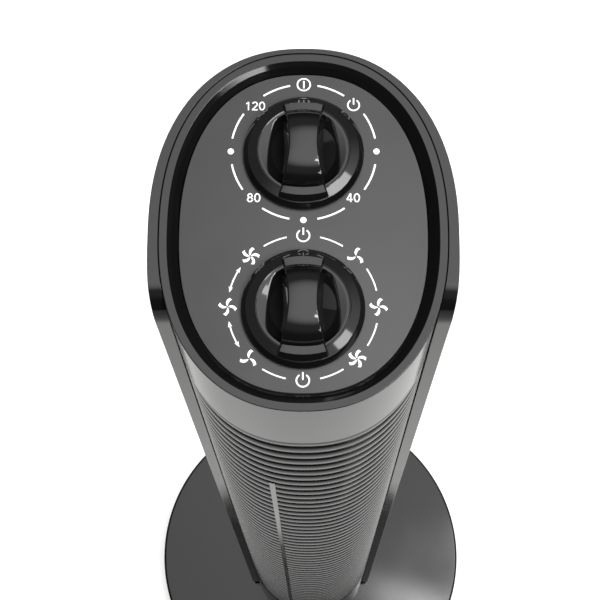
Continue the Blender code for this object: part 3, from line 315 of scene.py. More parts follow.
def turn_at_x(half_width, x):
    """The turn, between 0 and half a circle, at which the oval reaches x."""
    share = x / half_width
    return np.arccos(np.sign(share) * np.abs(share) ** (PLAN_POWER / 2))


def pushed(x, y, distance, closed=True):
    """An anticlockwise outline moved outwards along its own normals by a distance."""
    if closed:
        along_x, along_y = np.roll(x, -1) - np.roll(x, 1), np.roll(y, -1) - np.roll(y, 1)
    else:
        along_x, along_y = np.gradient(x), np.gradient(y)
    length = np.hypot(along_x, along_y)
    return x + along_y / length * distance, y - along_x / length * distance


def ring_faces(rows, columns, closed_rows=False):
    """Quads of a grid whose columns close on themselves; its rows may close as well."""
    index = np.arange(rows * columns).reshape(rows, columns)
    last = rows if closed_rows else rows - 1
    low = index[:last]
    high = np.roll(index, -1, axis=0)[:last]
    quads = np.stack([low, np.roll(low, -1, 1), np.roll(high, -1, 1), high], -1)
    return quads.reshape(-1, 4).tolist()


def end_faces(rows, columns):
    """One face across the first row of a grid and one across its last."""
    last = (rows - 1) * columns
    return [tuple(range(columns))[::-1], tuple(range(last, last + columns))]


def walled(name, outer, inner, keep, look, smooth_angle=40):
    """A wall with holes, from two grids of points that lie face to face.

    Rows go up and columns go anticlockwise. Where keep is true a cell has an outer and an inner
    face, and every edge between a kept and a dropped cell gets a face across the wall."""
    rows, columns = outer.shape[:2]
    out = np.arange(rows * columns).reshape(rows, columns)
    into = out + rows * columns

    def quads(corners, where):
        """Faces from four grids of point numbers, where the mask is true."""
        return np.stack([corner[where] for corner in corners], -1).reshape(-1, 4)

    cells = [(slice(None, -1), slice(None, -1)), (slice(None, -1), slice(1, None))]
    cells += [(slice(1, None), slice(1, None)), (slice(1, None), slice(None, -1))]
    faces = [quads([out[c] for c in cells], keep), quads([into[c] for c in cells[::-1]], keep)]
    framed = np.pad(keep, 1)
    below = framed[1:, 1:-1] & ~framed[:-1, 1:-1]
    above = framed[:-1, 1:-1] & ~framed[1:, 1:-1]
    left = framed[1:-1, 1:] & ~framed[1:-1, :-1]
    right = framed[1:-1, :-1] & ~framed[1:-1, 1:]
    near, far = (slice(None), slice(None, -1)), (slice(None), slice(1, None))
    low, high = (slice(None, -1), slice(None)), (slice(1, None), slice(None))
    faces.append(quads([into[near], into[far], out[far], out[near]], below))
    faces.append(quads([out[near], out[far], into[far], into[near]], above))
    faces.append(quads([out[low], out[high], into[high], into[low]], left))
    faces.append(quads([into[low], into[high], out[high], out[low]], right))
    used, renumbered = np.unique(np.concatenate(faces), return_inverse=True)
    points = np.concatenate([outer.reshape(-1, 3), inner.reshape(-1, 3)])[used]
    return meshed(name, points, renumbered.reshape(-1, 4).tolist(), look, smooth_angle)


def softened(piece, width, segments=2, limit=50):
    """Rounds a piece's sharp edges with a small bevel."""
    bevel = piece.modifiers.new("soft_edges", "BEVEL")
    bevel.width = width
    bevel.segments = segments
    bevel.limit_method = "ANGLE"
    bevel.angle_limit = math.radians(limit)
    bevel.harden_normals = True
    return piece


# Base shell: one glossy moulding, a shallow dished disc with a rolled edge and, in its middle,
# the shoulder and the hollow post that the tower turns on. Four screws hold the plate under it.

base_low, base_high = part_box("base_shell")
BASE_RADIUS = base_high.x
BASE_STEPS = 288


def rounded_profile(corners, steps=6):
    """An open profile of (radius, height, fillet) corners, with each fillet drawn as an arc.

    The arc's points are its two end arms blended by sines of the angle still to go and the angle
    gone. A fillet takes at most two fifths of either side, and a point just past each of its ends
    keeps the flat beside it flat."""
    points = []
    for i, (radius, height, fillet) in enumerate(corners):
        here = np.array((radius, height))
        if fillet == 0 or i in (0, len(corners) - 1):
            points.append(here)
            continue
        before = np.array(corners[i - 1][:2]) - here
        after = np.array(corners[i + 1][:2]) - here
        before_length, after_length = np.linalg.norm(before), np.linalg.norm(after)
        before, after = before / before_length, after / after_length
        half = math.acos(np.clip(before @ after, -1, 1)) / 2
        reach = min(fillet / math.tan(half), 0.40 * before_length, 0.40 * after_length)
        radius_used = reach * math.tan(half)
        middle = here + (before + after) / np.linalg.norm(before + after) * radius_used / math.sin(half)
        start = here + before * reach - middle
        end = here + after * reach - middle
        share = np.linspace(0, 1, steps + 1)[:, None]
        sweep_angle = math.acos(np.clip(start @ end / radius_used**2, -1, 1))
        arc = np.sin((1 - share) * sweep_angle) * start + np.sin(share * sweep_angle) * end
        spare = min(0.08 * before_length, 0.08 * after_length, 0.0002)
        points.append(here + before * (reach + spare))
        points += list(middle + arc / math.sin(sweep_angle))
        points.append(here + after * (reach + spare))
    return np.array(points)


def turned(name, profile, steps, centre, look, smooth_angle=40):
    """A closed (radius, height) profile turned about a vertical axis; heights go up outside."""
    turn = np.linspace(0, 2 * np.pi, steps, endpoint=False)
    radius, height = profile[:, 0, None], profile[:, 1, None]
    grid = np.stack(
        [
            centre[0] + radius * np.cos(turn),
            centre[1] + radius * np.sin(turn),
            np.broadcast_to(height, (len(profile), steps)),
        ],
        -1,
    )
    return meshed(name, grid, ring_faces(len(profile), steps, closed_rows=True), look, smooth_angle)


SHELL_WALL = 0.0025
POST_RADIUS = 0.0240
POST_WALL = 0.0060
SHOULDER_RADIUS = 0.0340
SHOULDER_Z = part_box("swivel_washer")[0].z - SHELL_GAP
CROWN_Z = 0.0215
EDGE_Z = 0.0180
FOOT_INSET = 0.0030
post_inner = POST_RADIUS - POST_WALL
foot_radius = BASE_RADIUS - FOOT_INSET

# Each corner is a radius, a height and a fillet.
base_corners = [
    (post_inner, CROWN_Z - SHELL_WALL, 0),
    (foot_radius - 0.0120, EDGE_Z - SHELL_WALL, 0.004),
    (foot_radius - SHELL_WALL, EDGE_Z - 0.0050, 0.003),
    (foot_radius - SHELL_WALL, base_low.z, 0.0003),
    (foot_radius, base_low.z, 0.0005),
    (BASE_RADIUS, base_low.z + 0.0040, 0.004),
    (BASE_RADIUS, EDGE_Z, 0.0018),
    (SHOULDER_RADIUS + 0.0100, CROWN_Z - 0.0004, 0.02),
    (SHOULDER_RADIUS, CROWN_Z, 0.0020),
    (SHOULDER_RADIUS, SHOULDER_Z, 0.0008),
    (POST_RADIUS, SHOULDER_Z, 0.0004),
    (POST_RADIUS, base_high.z, 0.0004),
    (post_inner, base_high.z, 0.0003),
    (post_inner, base_high.z - 0.0040, 0),
]
base_disc = turned("base_disc", rounded_profile(base_corners), BASE_STEPS, (0, 0), base_black)
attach(base_disc, "base")
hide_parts("base_shell")

# Rear casing: one tall glossy moulding, U-shaped in plan, that wraps the sides and back. Its front
# top corners are rounded, and rows of slots through its back let the air in. Four screws hold it.

casing_low, casing_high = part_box("rear_casing")
CASING_SEAM = 0.00010
CASING_SIDE_WALL = 0.0030
CASING_BACK_WALL = 0.0016
CASING_FRONT_PULL = 0.0044
CASING_FRONT_POWER = 3.0
RAIL_ROUNDING = 0.0013
RAIL_FLARE = 0.0003
CORNER_RADIUS = 0.0097
INTAKE_PITCH = 0.0103
INTAKE_SLOT = 0.0040
INTAKE_LOW = 0.1750
INTAKE_HIGH = 0.6550
INTAKE_REACH = 0.0270
INTAKE_BAR = 0.0040
CASING_EDGE_ROUNDING = 0.00022
CASING_BEND_STEPS = 9
CASING_SIDE_COLUMNS = 26
CASING_SLOT_COLUMNS = 15
CASING_FOOT_ROWS = 12
CASING_HEAD_ROWS = 8
CASING_HEAD_SPARE = 0.0020

casing_inside = (cover_high.x + CASING_SEAM, cover_low.y - CASING_SEAM, cover_high.y + CASING_SEAM)
casing_outside = (
    casing_inside[0] + CASING_SIDE_WALL,
    cover_low.y + CASING_FRONT_PULL,
    casing_inside[2] + CASING_BACK_WALL,
)


def casing_columns(outline, bend, power):
    """Turns of the casing's columns on one outline, from its right front edge round to the back."""
    front = casing_low.y + CORNER_RADIUS * (1 - np.cos(bend))
    sides = turn_at_y(outline[1], outline[2], front, power)
    slot_ends = [turn_at_x(outline[0], INTAKE_REACH), turn_at_x(outline[0], INTAKE_BAR / 2)]
    to_slot = np.linspace(sides[-1], slot_ends[0], CASING_SIDE_COLUMNS)[1:]
    across = np.linspace(slot_ends[0], slot_ends[1], CASING_SLOT_COLUMNS)[1:]
    half = np.concatenate([sides, to_slot, across])
    return np.concatenate([half, np.pi - half[::-1]])


bend = np.linspace(0, np.pi / 2, CASING_BEND_STEPS)
outer_turns = casing_columns(casing_outside, bend, CASING_FRONT_POWER)
inner_turns = casing_columns(casing_inside, bend, PLAN_POWER)
outer_x, outer_y = oval(*casing_outside, outer_turns, CASING_FRONT_POWER)
inner_x, inner_y = oval(*casing_inside, inner_turns)
into_edge = np.clip(1 - (inner_y - casing_low.y) / RAIL_ROUNDING, 0, 1)
inner_x = inner_x + np.sign(inner_x) * RAIL_FLARE * (1 - np.sqrt(1 - into_edge**2))


def casing_top(y):
    """Height of the casing's top edge at y: level, then a quarter circle down to the front."""
    back = np.clip(casing_low.y + CORNER_RADIUS - y, 0, CORNER_RADIUS)
    return casing_high.z - CORNER_RADIUS + np.sqrt(np.maximum(CORNER_RADIUS**2 - back**2, 0))


slot_rows = np.arange(INTAKE_LOW, INTAKE_HIGH, INTAKE_PITCH)
head_z = casing_high.z - CORNER_RADIUS - CASING_HEAD_SPARE
heights = np.concatenate(
    [
        np.linspace(casing_low.z, INTAKE_LOW, CASING_FOOT_ROWS)[:-1],
        np.stack([slot_rows, slot_rows + INTAKE_SLOT], 1).ravel(),
        np.linspace(slot_rows[-1] + INTAKE_PITCH, head_z, CASING_HEAD_ROWS),
    ]
)


def casing_grid(x, y):
    """The casing's points: level rows up to the rounded corners, then one row along the top."""
    rows = np.broadcast_to(heights[:, None], (len(heights), len(x)))
    rows = np.concatenate([rows, casing_top(y)[None]])
    return np.stack([np.broadcast_to(x, rows.shape), np.broadcast_to(y, rows.shape), rows], -1)


keep = np.ones((len(heights), len(outer_turns) - 1), bool)
aside = np.abs(outer_x[1:] + outer_x[:-1]) / 2
slotted = (outer_y[1:] > PLAN_MIDDLE_Y) & (aside < INTAKE_REACH) & (aside > INTAKE_BAR / 2)
slot_cells = CASING_FOOT_ROWS - 1 + 2 * np.arange(len(slot_rows))
keep[np.ix_(slot_cells, slotted)] = False
outer_face, inner_face = casing_grid(outer_x, outer_y), casing_grid(inner_x, inner_y)
casing = walled("casing_shell", outer_face, inner_face, keep, shell_black)
softened(casing, CASING_EDGE_ROUNDING)
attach(casing, "tower")
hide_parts("rear_casing")

# Front grille: one glossy moulding, a stack of level rounded ribs with air gaps between them, and a
# plain apron below over the motor. It clips in between the two edges of the casing.

grille_low, grille_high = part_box("front_grille")
GRILLE_WALL = 0.0026
RIB_PITCH = 0.0103
RIB_GAP = 0.0033
RIB_SWELL = 0.0008
APRON_TOP = 0.1200
GAP_REACH = 0.0300
RIB_SHAPE = (1 - np.cos(np.linspace(0, np.pi, 9))) / 2
APRON_ROWS = 14
SIDE_COLUMNS = 15
FACE_COLUMNS = 45

grille_outline = (cover_high.x, cover_low.y, cover_high.y)
edge_turn = float(turn_at_y(grille_outline[1], grille_outline[2], np.array(grille_high.y)))
gap_turn = float(turn_at_x(grille_outline[0], GAP_REACH))
right_end = 2 * np.pi + edge_turn
left_gap, right_gap = np.pi + gap_turn, 2 * np.pi - gap_turn
grille_turns = np.concatenate(
    [
        np.linspace(np.pi - edge_turn, left_gap, SIDE_COLUMNS)[:-1],
        np.linspace(left_gap, right_gap, FACE_COLUMNS)[:-1],
        np.linspace(right_gap, right_end, SIDE_COLUMNS),
    ]
)

# A rib's front swells in half a circle from its lower edge to its upper one.
rib_height = RIB_PITCH - RIB_GAP
rib_count = int((grille_high.z - APRON_TOP) / RIB_PITCH)
rib_bottoms = grille_high.z - rib_height - RIB_PITCH * np.arange(rib_count)[::-1]
apron = np.linspace(grille_low.z, rib_bottoms[0] - RIB_GAP, APRON_ROWS)
ribs = rib_bottoms[:, None] + rib_height * RIB_SHAPE
grille_heights = np.concatenate([apron, ribs.ravel()])
rounding = RIB_SWELL * (np.sqrt(np.maximum(1 - (2 * RIB_SHAPE - 1) ** 2, 0)) - 1)
swell = np.concatenate([0 * apron, np.tile(rounding, rib_count)])
outline_x, outline_y = oval(*grille_outline, grille_turns)
push_x, push_y = pushed(outline_x, outline_y, 1.0, closed=False)
push_x, push_y = push_x - outline_x, push_y - outline_y
level = np.broadcast_to(grille_heights[:, None], (len(grille_heights), len(grille_turns)))


def grille_face(push):
    """The grille's points with each row pushed outwards by its own distance."""
    return np.stack([outline_x + push[:, None] * push_x, outline_y + push[:, None] * push_y, level], -1)


keep = np.ones((level.shape[0] - 1, level.shape[1] - 1), bool)
gap_rows = APRON_ROWS - 1 + len(RIB_SHAPE) * np.arange(rib_count)
open_columns = SIDE_COLUMNS - 1 + np.arange(FACE_COLUMNS - 1)
keep[np.ix_(gap_rows, open_columns)] = False
grille_inner = grille_face(np.full_like(swell, -GRILLE_WALL))
grille = walled("grille_ribs", grille_face(swell), grille_inner, keep, shell_black, 50)
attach(grille, "tower")
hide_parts("front_grille")

# Tie bar: a slim flat upright moulded across the ribs, left of the middle, that keeps them level.
# It is part of the grille's moulding and stands a hair proud of the ribs.

TIE_X = 0.0120
TIE_WIDTH = 0.0022
TIE_TOP = 0.6250
TIE_PROUD = 0.0002
TIE_DEPTH = 0.0018
TIE_ROWS = 30
tie_turn = np.pi + turn_at_x(grille_outline[0], TIE_X) + np.array((0.0, 1e-3))
tie_x, tie_y = oval(*grille_outline, tie_turn)
tie_along = np.array((tie_x[1] - tie_x[0], tie_y[1] - tie_y[0]))
tie_along /= np.hypot(*tie_along)
tie_out = np.array((tie_along[1], -tie_along[0]))
tie_across = TIE_WIDTH * np.array((-0.50, -0.50, -0.40, 0.40, 0.50, 0.50))
tie_reach = np.array((-TIE_DEPTH, 0.0, TIE_PROUD, TIE_PROUD, 0.0, -TIE_DEPTH))
tie_plan = np.array((tie_x[0], tie_y[0])) + tie_across[:, None] * tie_along
tie_plan = tie_plan + tie_reach[:, None] * tie_out
tie_heights = np.linspace(APRON_TOP, TIE_TOP, TIE_ROWS)
tie_corners = len(tie_plan)
tie_grid = np.concatenate(
    [
        np.broadcast_to(tie_plan, (TIE_ROWS, tie_corners, 2)),
        np.broadcast_to(tie_heights[:, None, None], (TIE_ROWS, tie_corners, 1)),
    ],
    -1,
)
tie_faces = ring_faces(TIE_ROWS, tie_corners) + end_faces(TIE_ROWS, tie_corners)
tie_bar = meshed("grille_tie_bar", tie_grid, tie_faces, shell_black, 30)
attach(tie_bar, "tower")

# Top cover: one glossy moulding, the tall plain band round the tower's head and the rim over it.
# Inside the rim a sloping edge runs down to a ledge, where the panel is glued.

RIM_WIDTH = 0.0024
SLOPE_WIDTH = 0.0030
SLOPE_BREAK = 0.45
SLOPE_BULGE = 0.00008
COVER_WALL = 0.0022
LEDGE_WIDTH = 0.0022
LEDGE_THICKNESS = 0.0020
COVER_STEPS = 360
COVER_JOIN_HIGH = 0.0200
COVER_JOIN_LOW = 0.0180
panel_low, panel_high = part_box("control_panel")
slope_foot = RIM_WIDTH + SLOPE_WIDTH
break_z = cover_high.z + (panel_high.z - cover_high.z) * SLOPE_BREAK + SLOPE_BULGE
ledge_z = panel_low.z - SHELL_GAP

# Each corner is an outward push from the cover's oval, a height and a fillet.
cover_corners = [
    (0, cover_low.z + COVER_JOIN_HIGH, 0),
    (0, cover_high.z, 0.00025),
    (-RIM_WIDTH, cover_high.z, 0.0004),
    (-RIM_WIDTH - SLOPE_WIDTH * SLOPE_BREAK, break_z, 0.0001),
    (-slope_foot, panel_high.z, 0.0003),
    (-slope_foot, ledge_z, 0.0002),
    (-slope_foot - LEDGE_WIDTH, ledge_z, 0.0002),
    (-slope_foot - LEDGE_WIDTH, ledge_z - LEDGE_THICKNESS, 0.0002),
    (-COVER_WALL, ledge_z - LEDGE_THICKNESS, 0.0003),
    (-COVER_WALL, cover_low.z, 0.0002),
    (0, cover_low.z, 0.0003),
    (0, cover_low.z + COVER_JOIN_LOW, 0),
]


def round_cover(profile):
    """Points of (outward push, height) pairs carried round the cover's oval."""
    turn = np.linspace(0, 2 * np.pi, COVER_STEPS, endpoint=False)
    x, y = oval(cover_high.x, cover_low.y, cover_high.y, turn)
    unit_x, unit_y = pushed(x, y, 1.0)
    unit_x, unit_y = unit_x - x, unit_y - y
    push, height = profile[:, 0, None], profile[:, 1, None]
    level = np.broadcast_to(height, (len(profile), COVER_STEPS))
    return np.stack([x + push * unit_x, y + push * unit_y, level], -1)


cover_profile = rounded_profile(cover_corners)
cover_faces = ring_faces(len(cover_profile), COVER_STEPS, closed_rows=True)
cover = meshed("cover_rim", round_cover(cover_profile), cover_faces, shell_black)
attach(cover, "tower")
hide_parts("top_cover")

# Control panel: a flat satin plate of dark grey plastic with a very fine moulded grain, glued on
# the cover's ledge. The dials' marks are printed on it in thick white ink.

PANEL_GREY = 0.070
panel_look, tree, shader = finish_of("satin_panel_grey")
coordinates = tree.nodes.new("ShaderNodeTexCoord").outputs["Object"]
broad = noise(tree, 60.0, 4.0, coordinates)
panel_stops = [(0.3, (PANEL_GREY * 0.94,) * 3), (0.7, (PANEL_GREY * 1.05,) * 3)]
tree.links.new(tinted(tree, broad, panel_stops), shader.inputs["Base Color"])
tree.links.new(ranged(tree, broad, 0.48, 0.52, 0.3, 0.7), shader.inputs["Roughness"])
shader.inputs["IOR"].default_value = 1.30
bumped(tree, shader, noise(tree, 5200.0, 2.0, coordinates), 0.000006)

PANEL_EDGE = 0.00025
panel_side = -slope_foot - SHELL_GAP
panel_profile = np.array(
    [
        (panel_side, panel_low.z),
        (panel_side, panel_high.z - PANEL_EDGE),
        (panel_side - PANEL_EDGE * 0.3, panel_high.z - PANEL_EDGE * 0.3),
        (panel_side - PANEL_EDGE, panel_high.z),
    ]
)
panel_faces = ring_faces(len(panel_profile), COVER_STEPS) + end_faces(len(panel_profile), COVER_STEPS)
panel = meshed("dial_panel", round_cover(panel_profile), panel_faces, panel_look)
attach(panel, "tower")
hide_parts("control_panel")

# Printed marks: white screen-print ink round each dial, a few hundredths of a millimetre thick.
# Numbers, dots, switch signs and little fans with more blades for more air. The ink has a faint
# painted glow of its own, which makes it brighter than the light on it alone would.

INK_THICKNESS = 0.00004
INK_LIFT = 0.00001
TIMER_RING = 0.0213
SPEED_RING = 0.0214
TIMER_MARK_Y = 0.0275
SPEED_MARK_Y = -0.0199
POWER_OPENING = 32
ink_look, tree, shader = finish_of("white_print_ink_painted_glow")
ink = noise(tree, 1500.0, 3.0)
ink_whites = [(0.3, (0.80, 0.80, 0.80)), (0.7, (0.90, 0.90, 0.90))]
tree.links.new(tinted(tree, ink, ink_whites), shader.inputs["Base Color"])
tree.links.new(ranged(tree, ink, 0.40, 0.55), shader.inputs["Roughness"])
# Painted glow: the ink emits a little light of its own, though it is no lamp.
shader.inputs["Emission Color"].default_value = (1, 1, 1, 1)
shader.inputs["Emission Strength"].default_value = 0.35


def arc_band(centre, radius, width, start, end, count=24):
    """Outline of a curved stroke; angles in degrees, clockwise from the back of the fan."""
    turn = np.radians(np.linspace(start, end, count))
    outer, inner = radius + width / 2, radius - width / 2
    x = np.concatenate([outer * np.sin(turn), inner * np.sin(turn[::-1])])
    y = np.concatenate([outer * np.cos(turn), inner * np.cos(turn[::-1])])
    return np.stack([centre[0] + x, centre[1] + y], 1)


def spot(centre, radius, count=28):
    """Outline of a round dot."""
    turn = np.linspace(0, 2 * np.pi, count, endpoint=False)
    return np.stack([centre[0] + radius * np.sin(turn), centre[1] + radius * np.cos(turn)], 1)


def bar(centre, width, low, high):
    """Outline of an upright stroke."""
    x, y = centre
    half = width / 2
    left, right = x - half, x + half
    return np.array([(left, y + low), (left, y + high), (right, y + high), (right, y + low)])


def on_ring(middle_y, ring, degrees):
    """A place on a dial's ring of marks, clockwise from the back."""
    turn = math.radians(degrees)
    return ring * math.sin(turn), middle_y + ring * math.cos(turn)


def power_sign(centre, radius, width):
    """The stand-by sign: a ring open at the top with a short bar in the opening."""
    ring = arc_band(centre, radius, width, POWER_OPENING, 360 - POWER_OPENING, 40)
    return [ring, bar(centre, width, radius * 0.10, radius * 1.32)]


def fan_sign(centre, blades, radius):
    """A fan of curved blades: each edge of a blade turns clockwise as it goes outwards."""
    out = np.linspace(0.10, 1.0, 12)
    signs = []
    for blade in range(blades):
        start = 360 * blade / blades
        lead = start - 40 * np.cos(1.65 * out) + 8
        trail = start + 10 + 22 * out**2
        turn = np.radians(np.concatenate([lead, trail[::-1]]))
        reach = radius * np.concatenate([out, out[::-1] * (1 - 0.10 * out[::-1] ** 6)])
        signs.append(np.stack([centre[0] + reach * np.sin(turn), centre[1] + reach * np.cos(turn)], 1))
    return signs


def arrow_band(centre, radius, width, start, end, head, spread):
    """A curved stroke with an arrow head at each end."""
    middle = arc_band(centre, radius, width, start + head * 0.8, end - head * 0.8, 16)
    heads = []
    for tip, way in ((start, 1), (end, -1)):
        back = tip + way * head
        turn = np.radians([tip, back, back - way * head * 0.22, back])
        reach = np.array([radius, radius + spread, radius, radius - spread])
        heads.append(np.stack([centre[0] + reach * np.sin(turn), centre[1] + reach * np.cos(turn)], 1))
    return [middle] + heads


def printed(name, outlines, z):
    """Thin closed pads of ink, one for each outline."""
    points, faces = [], []
    count = 0
    for outline in outlines:
        following = np.roll(outline, -1, 0)
        area = np.sum(outline[:, 0] * following[:, 1] - following[:, 0] * outline[:, 1])
        if area < 0:
            outline = outline[::-1]
        size = len(outline)
        for height in (z, z + INK_THICKNESS):
            points.append(np.column_stack([outline, np.full(size, height)]))
        low = np.arange(size) + count
        high = low + size
        faces += [tuple(low[::-1].tolist()), tuple(high.tolist())]
        faces += np.stack([low, np.roll(low, -1), np.roll(high, -1), high], 1).tolist()
        count += 2 * size
    return meshed(name, np.concatenate(points), faces, ink_look, 30)


def stroke(path, width):
    """Outline of a bent line: its path pushed half the width to either side."""
    left = np.stack(pushed(path[:, 0], path[:, 1], width / 2, closed=False), 1)
    right = np.stack(pushed(path[:, 0], path[:, 1], -width / 2, closed=False), 1)
    return np.concatenate([left, right[::-1]])


def bowl(middle_y, half_width, half_height, start=0, end=359):
    """Part of an oval of a digit; angles in degrees, clockwise from its top."""
    turn = np.radians(np.linspace(start, end, 40))
    return np.stack([half_width * np.sin(turn), middle_y + half_height * np.cos(turn)], 1)


DIGITS = {
    "0": [bowl(0, 0.27, 0.45)],
    "1": [np.array([(-0.16, 0.27), (0.0, 0.34), (0.07, 0.45)]), np.array([(0.08, 0.49), (0.08, -0.50)])],
    "2": [
        np.concatenate([bowl(0.20, 0.25, 0.25, -75, 115), [(-0.27, -0.44)]]),
        np.array([(-0.32, -0.45), (0.30, -0.45)]),
    ],
    "4": [
        np.array([(0.10, 0.48), (-0.29, -0.20)]),
        np.array([(-0.32, -0.22), (0.32, -0.22)]),
        np.array([(0.12, 0.49), (0.12, -0.50)]),
    ],
    "8": [bowl(0.24, 0.21, 0.21), bowl(-0.21, 0.26, 0.24)],
}
DIGIT_PITCH = 0.78
DIGIT_STROKE = 0.135


def number(text, centre, height):
    """Outlines of the strokes of a number, its digits side by side about a centre."""
    outlines = []
    for i, digit in enumerate(text):
        middle_x = centre[0] + (i - (len(text) - 1) / 2) * DIGIT_PITCH * height
        for path in DIGITS[digit]:
            outlines.append(stroke(path * height + (middle_x, centre[1]), DIGIT_STROKE * height))
    return outlines


# The arcs' half lengths and the arrow's head are in degrees, the rest in metres.
TIMER_STROKE = 0.00052
SPEED_STROKE = 0.00042
SIGN_STROKE = 0.00044
TIMER_ARC = 11.5
SPEED_ARC = 9.5
SWING_ARC = 11.0
ARROW_HEAD = 4.6
ARROW_SPREAD = 0.00062
DOT_RADIUS = 0.00092
START_RADIUS = 0.0019
START_BAR = 0.0012
TIMER_POWER_RADIUS = 0.0017
TIMER_POWER_RING = TIMER_RING - 0.0005
SPEED_POWER_RADIUS = 0.0018
FAN_RADIUS = 0.0027
NUMBER_HEIGHT = 0.0027
NUMBER_RING = 0.0204
ink_z = panel_high.z + INK_LIFT

timer_centre = (0, TIMER_MARK_Y)
timer_outlines = [
    arc_band(timer_centre, TIMER_RING, TIMER_STROKE, turn - TIMER_ARC, turn + TIMER_ARC)
    for turn in np.arange(22.5, 360, 45)
]
timer_outlines += [spot(on_ring(TIMER_MARK_Y, TIMER_RING, turn), DOT_RADIUS) for turn in (90, 180, 270)]
start_centre = on_ring(TIMER_MARK_Y, TIMER_RING, 0)
timer_outlines.append(arc_band(start_centre, START_RADIUS, SIGN_STROKE, 0, 359.5, 48))
timer_outlines.append(bar(start_centre, SIGN_STROKE, -START_BAR, START_BAR))
power_centre = on_ring(TIMER_MARK_Y, TIMER_POWER_RING, 45)
timer_outlines += power_sign(power_centre, TIMER_POWER_RADIUS, SIGN_STROKE)
for text, turn in (("40", 135), ("80", 225), ("120", 315)):
    timer_outlines += number(text, on_ring(TIMER_MARK_Y, NUMBER_RING, turn), NUMBER_HEIGHT)
timer_print = printed("timer_print", timer_outlines, ink_z)

speed_centre = (0, SPEED_MARK_Y)
speed_outlines = [
    arc_band(speed_centre, SPEED_RING, SPEED_STROKE, turn - SPEED_ARC, turn + SPEED_ARC)
    for turn in (22.5, 67.5, 112.5, 157.5, 202.5, 337.5)
]
for turn in (247.5, 292.5):
    start, end = turn - SWING_ARC, turn + SWING_ARC
    speed_outlines += arrow_band(
        speed_centre, SPEED_RING, SPEED_STROKE, start, end, ARROW_HEAD, ARROW_SPREAD
    )
for turn in (0, 180):
    centre = on_ring(SPEED_MARK_Y, SPEED_RING, turn)
    speed_outlines += power_sign(centre, SPEED_POWER_RADIUS, SIGN_STROKE)
for turn, blades in ((45, 3), (90, 4), (135, 5), (225, 3), (270, 4), (315, 5)):
    speed_outlines += fan_sign(on_ring(SPEED_MARK_Y, SPEED_RING, turn), blades, FAN_RADIUS)
speed_print = printed("speed_print", speed_outlines, ink_z)
for piece in (timer_print, speed_print):
    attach(piece, "tower")

# Knobs: two glossy mouldings, alike. Each is a low disc with a bevelled lip, and a waisted grip
# bar arched over it between two scooped hollows. A shaft in its underside carries it.

knob_black = polished_black("polished_black_knob", GLOSS_TONE, 0.05, 0.0000015)

# The lip and the crown are a radius and a height, the shelf a distance along the bar and a height.
KNOB_LIP = (0.0163, 0.0021)
KNOB_CROWN = (0.0134, 0.0028)
BEAD_HEIGHT = 0.00010
BEAD_HALF = 0.00030
GRIP_TOP = 0.0092
GRIP_SHELF = (0.0120, 0.0039)
GRIP_END = 0.0144
GRIP_TOE = 0.0169
GRIP_TOE_HEIGHT = 0.0008
GRIP_BACK_HALF = 0.0059
GRIP_WAIST_HALF = 0.0042
GRIP_FRONT_HALF = 0.0069
GRIP_FOOT = 0.0004
GRIP_FILLET = 0.0005
GRIP_CROWN = 0.00020
GRIP_FLARE = 0.16
GRIP_END_RADIUS = 0.0176
HOLLOW_HALF = 0.0106
HOLLOW_BOW = 11.5
HOLLOW_MIDDLE_Y = -0.004
HOLLOW_EASE = 0.0002
HOLLOW_SLOPE = 0.42
HOLLOW_DEPTH = 0.0025
HOLLOW_FADE = (0.0114, 0.0127)
CROWN_SLOPE = 0.16
CROWN_REACH = 0.003
KNOB_STEPS = 240
KNOB_MIDDLE = 0.0002
KNOB_FLOOR = 0.0002


def stepped(value, start, end):
    """A smooth step from 0 at start to 1 at end."""
    share = np.clip((value - start) / (end - start), 0, 1)
    return share * share * (3 - 2 * share)


def knob_disc(name, centre_y, low, radius):
    """The round part: a turned profile with a fine bead at the crown, its inner face lowered in two
    hollows that slope down to the grip. A hollow's border bows outwards, widest near its middle."""
    crown_radius, crown = KNOB_CROWN[0], low + KNOB_CROWN[1]
    edge = rounded_profile(
        [
            (radius, low, 0),
            (radius, low + 0.0006, 0.0003),
            (KNOB_LIP[0], low + KNOB_LIP[1], 0.0004),
            (crown_radius + BEAD_HALF, crown, 0.0003),
            (crown_radius, crown + BEAD_HEIGHT, 0.0002),
            (crown_radius - BEAD_HALF, crown, 0.0002),
            (crown_radius - 3 * BEAD_HALF, crown, 0),
        ],
        4,
    )
    inward = np.linspace(crown_radius - 4 * BEAD_HALF, KNOB_MIDDLE, 60)
    top = np.column_stack([inward, np.full(len(inward), crown)])
    profile = np.concatenate([[(KNOB_MIDDLE, low)], edge, top])
    turn = np.linspace(0, 2 * np.pi, KNOB_STEPS, endpoint=False)
    ring = profile[:, 0, None]
    x, y = ring * np.cos(turn), ring * np.sin(turn)
    inside = HOLLOW_HALF - HOLLOW_BOW * (y - HOLLOW_MIDDLE_Y) ** 2 - np.abs(x)
    eased = inside - HOLLOW_EASE * (1 - np.exp(-inside / HOLLOW_EASE))
    sunk = np.minimum(HOLLOW_SLOPE * np.where(inside > 0, eased, 0), HOLLOW_DEPTH)
    sunk = sunk * (1 - stepped(ring, *HOLLOW_FADE))
    sunk = sunk + CROWN_SLOPE * np.clip(crown_radius - 3 * BEAD_HALF - ring, 0, CROWN_REACH)
    face = np.arange(len(profile))[:, None] > len(edge)
    z = profile[:, 1, None] - np.where(face, np.minimum(sunk, KNOB_CROWN[1] - KNOB_FLOOR), 0)
    grid = np.stack([x, y + centre_y, z], -1)
    faces = ring_faces(len(profile), KNOB_STEPS) + end_faces(len(profile), KNOB_STEPS)
    return meshed(name, grid, faces, knob_black, 25)


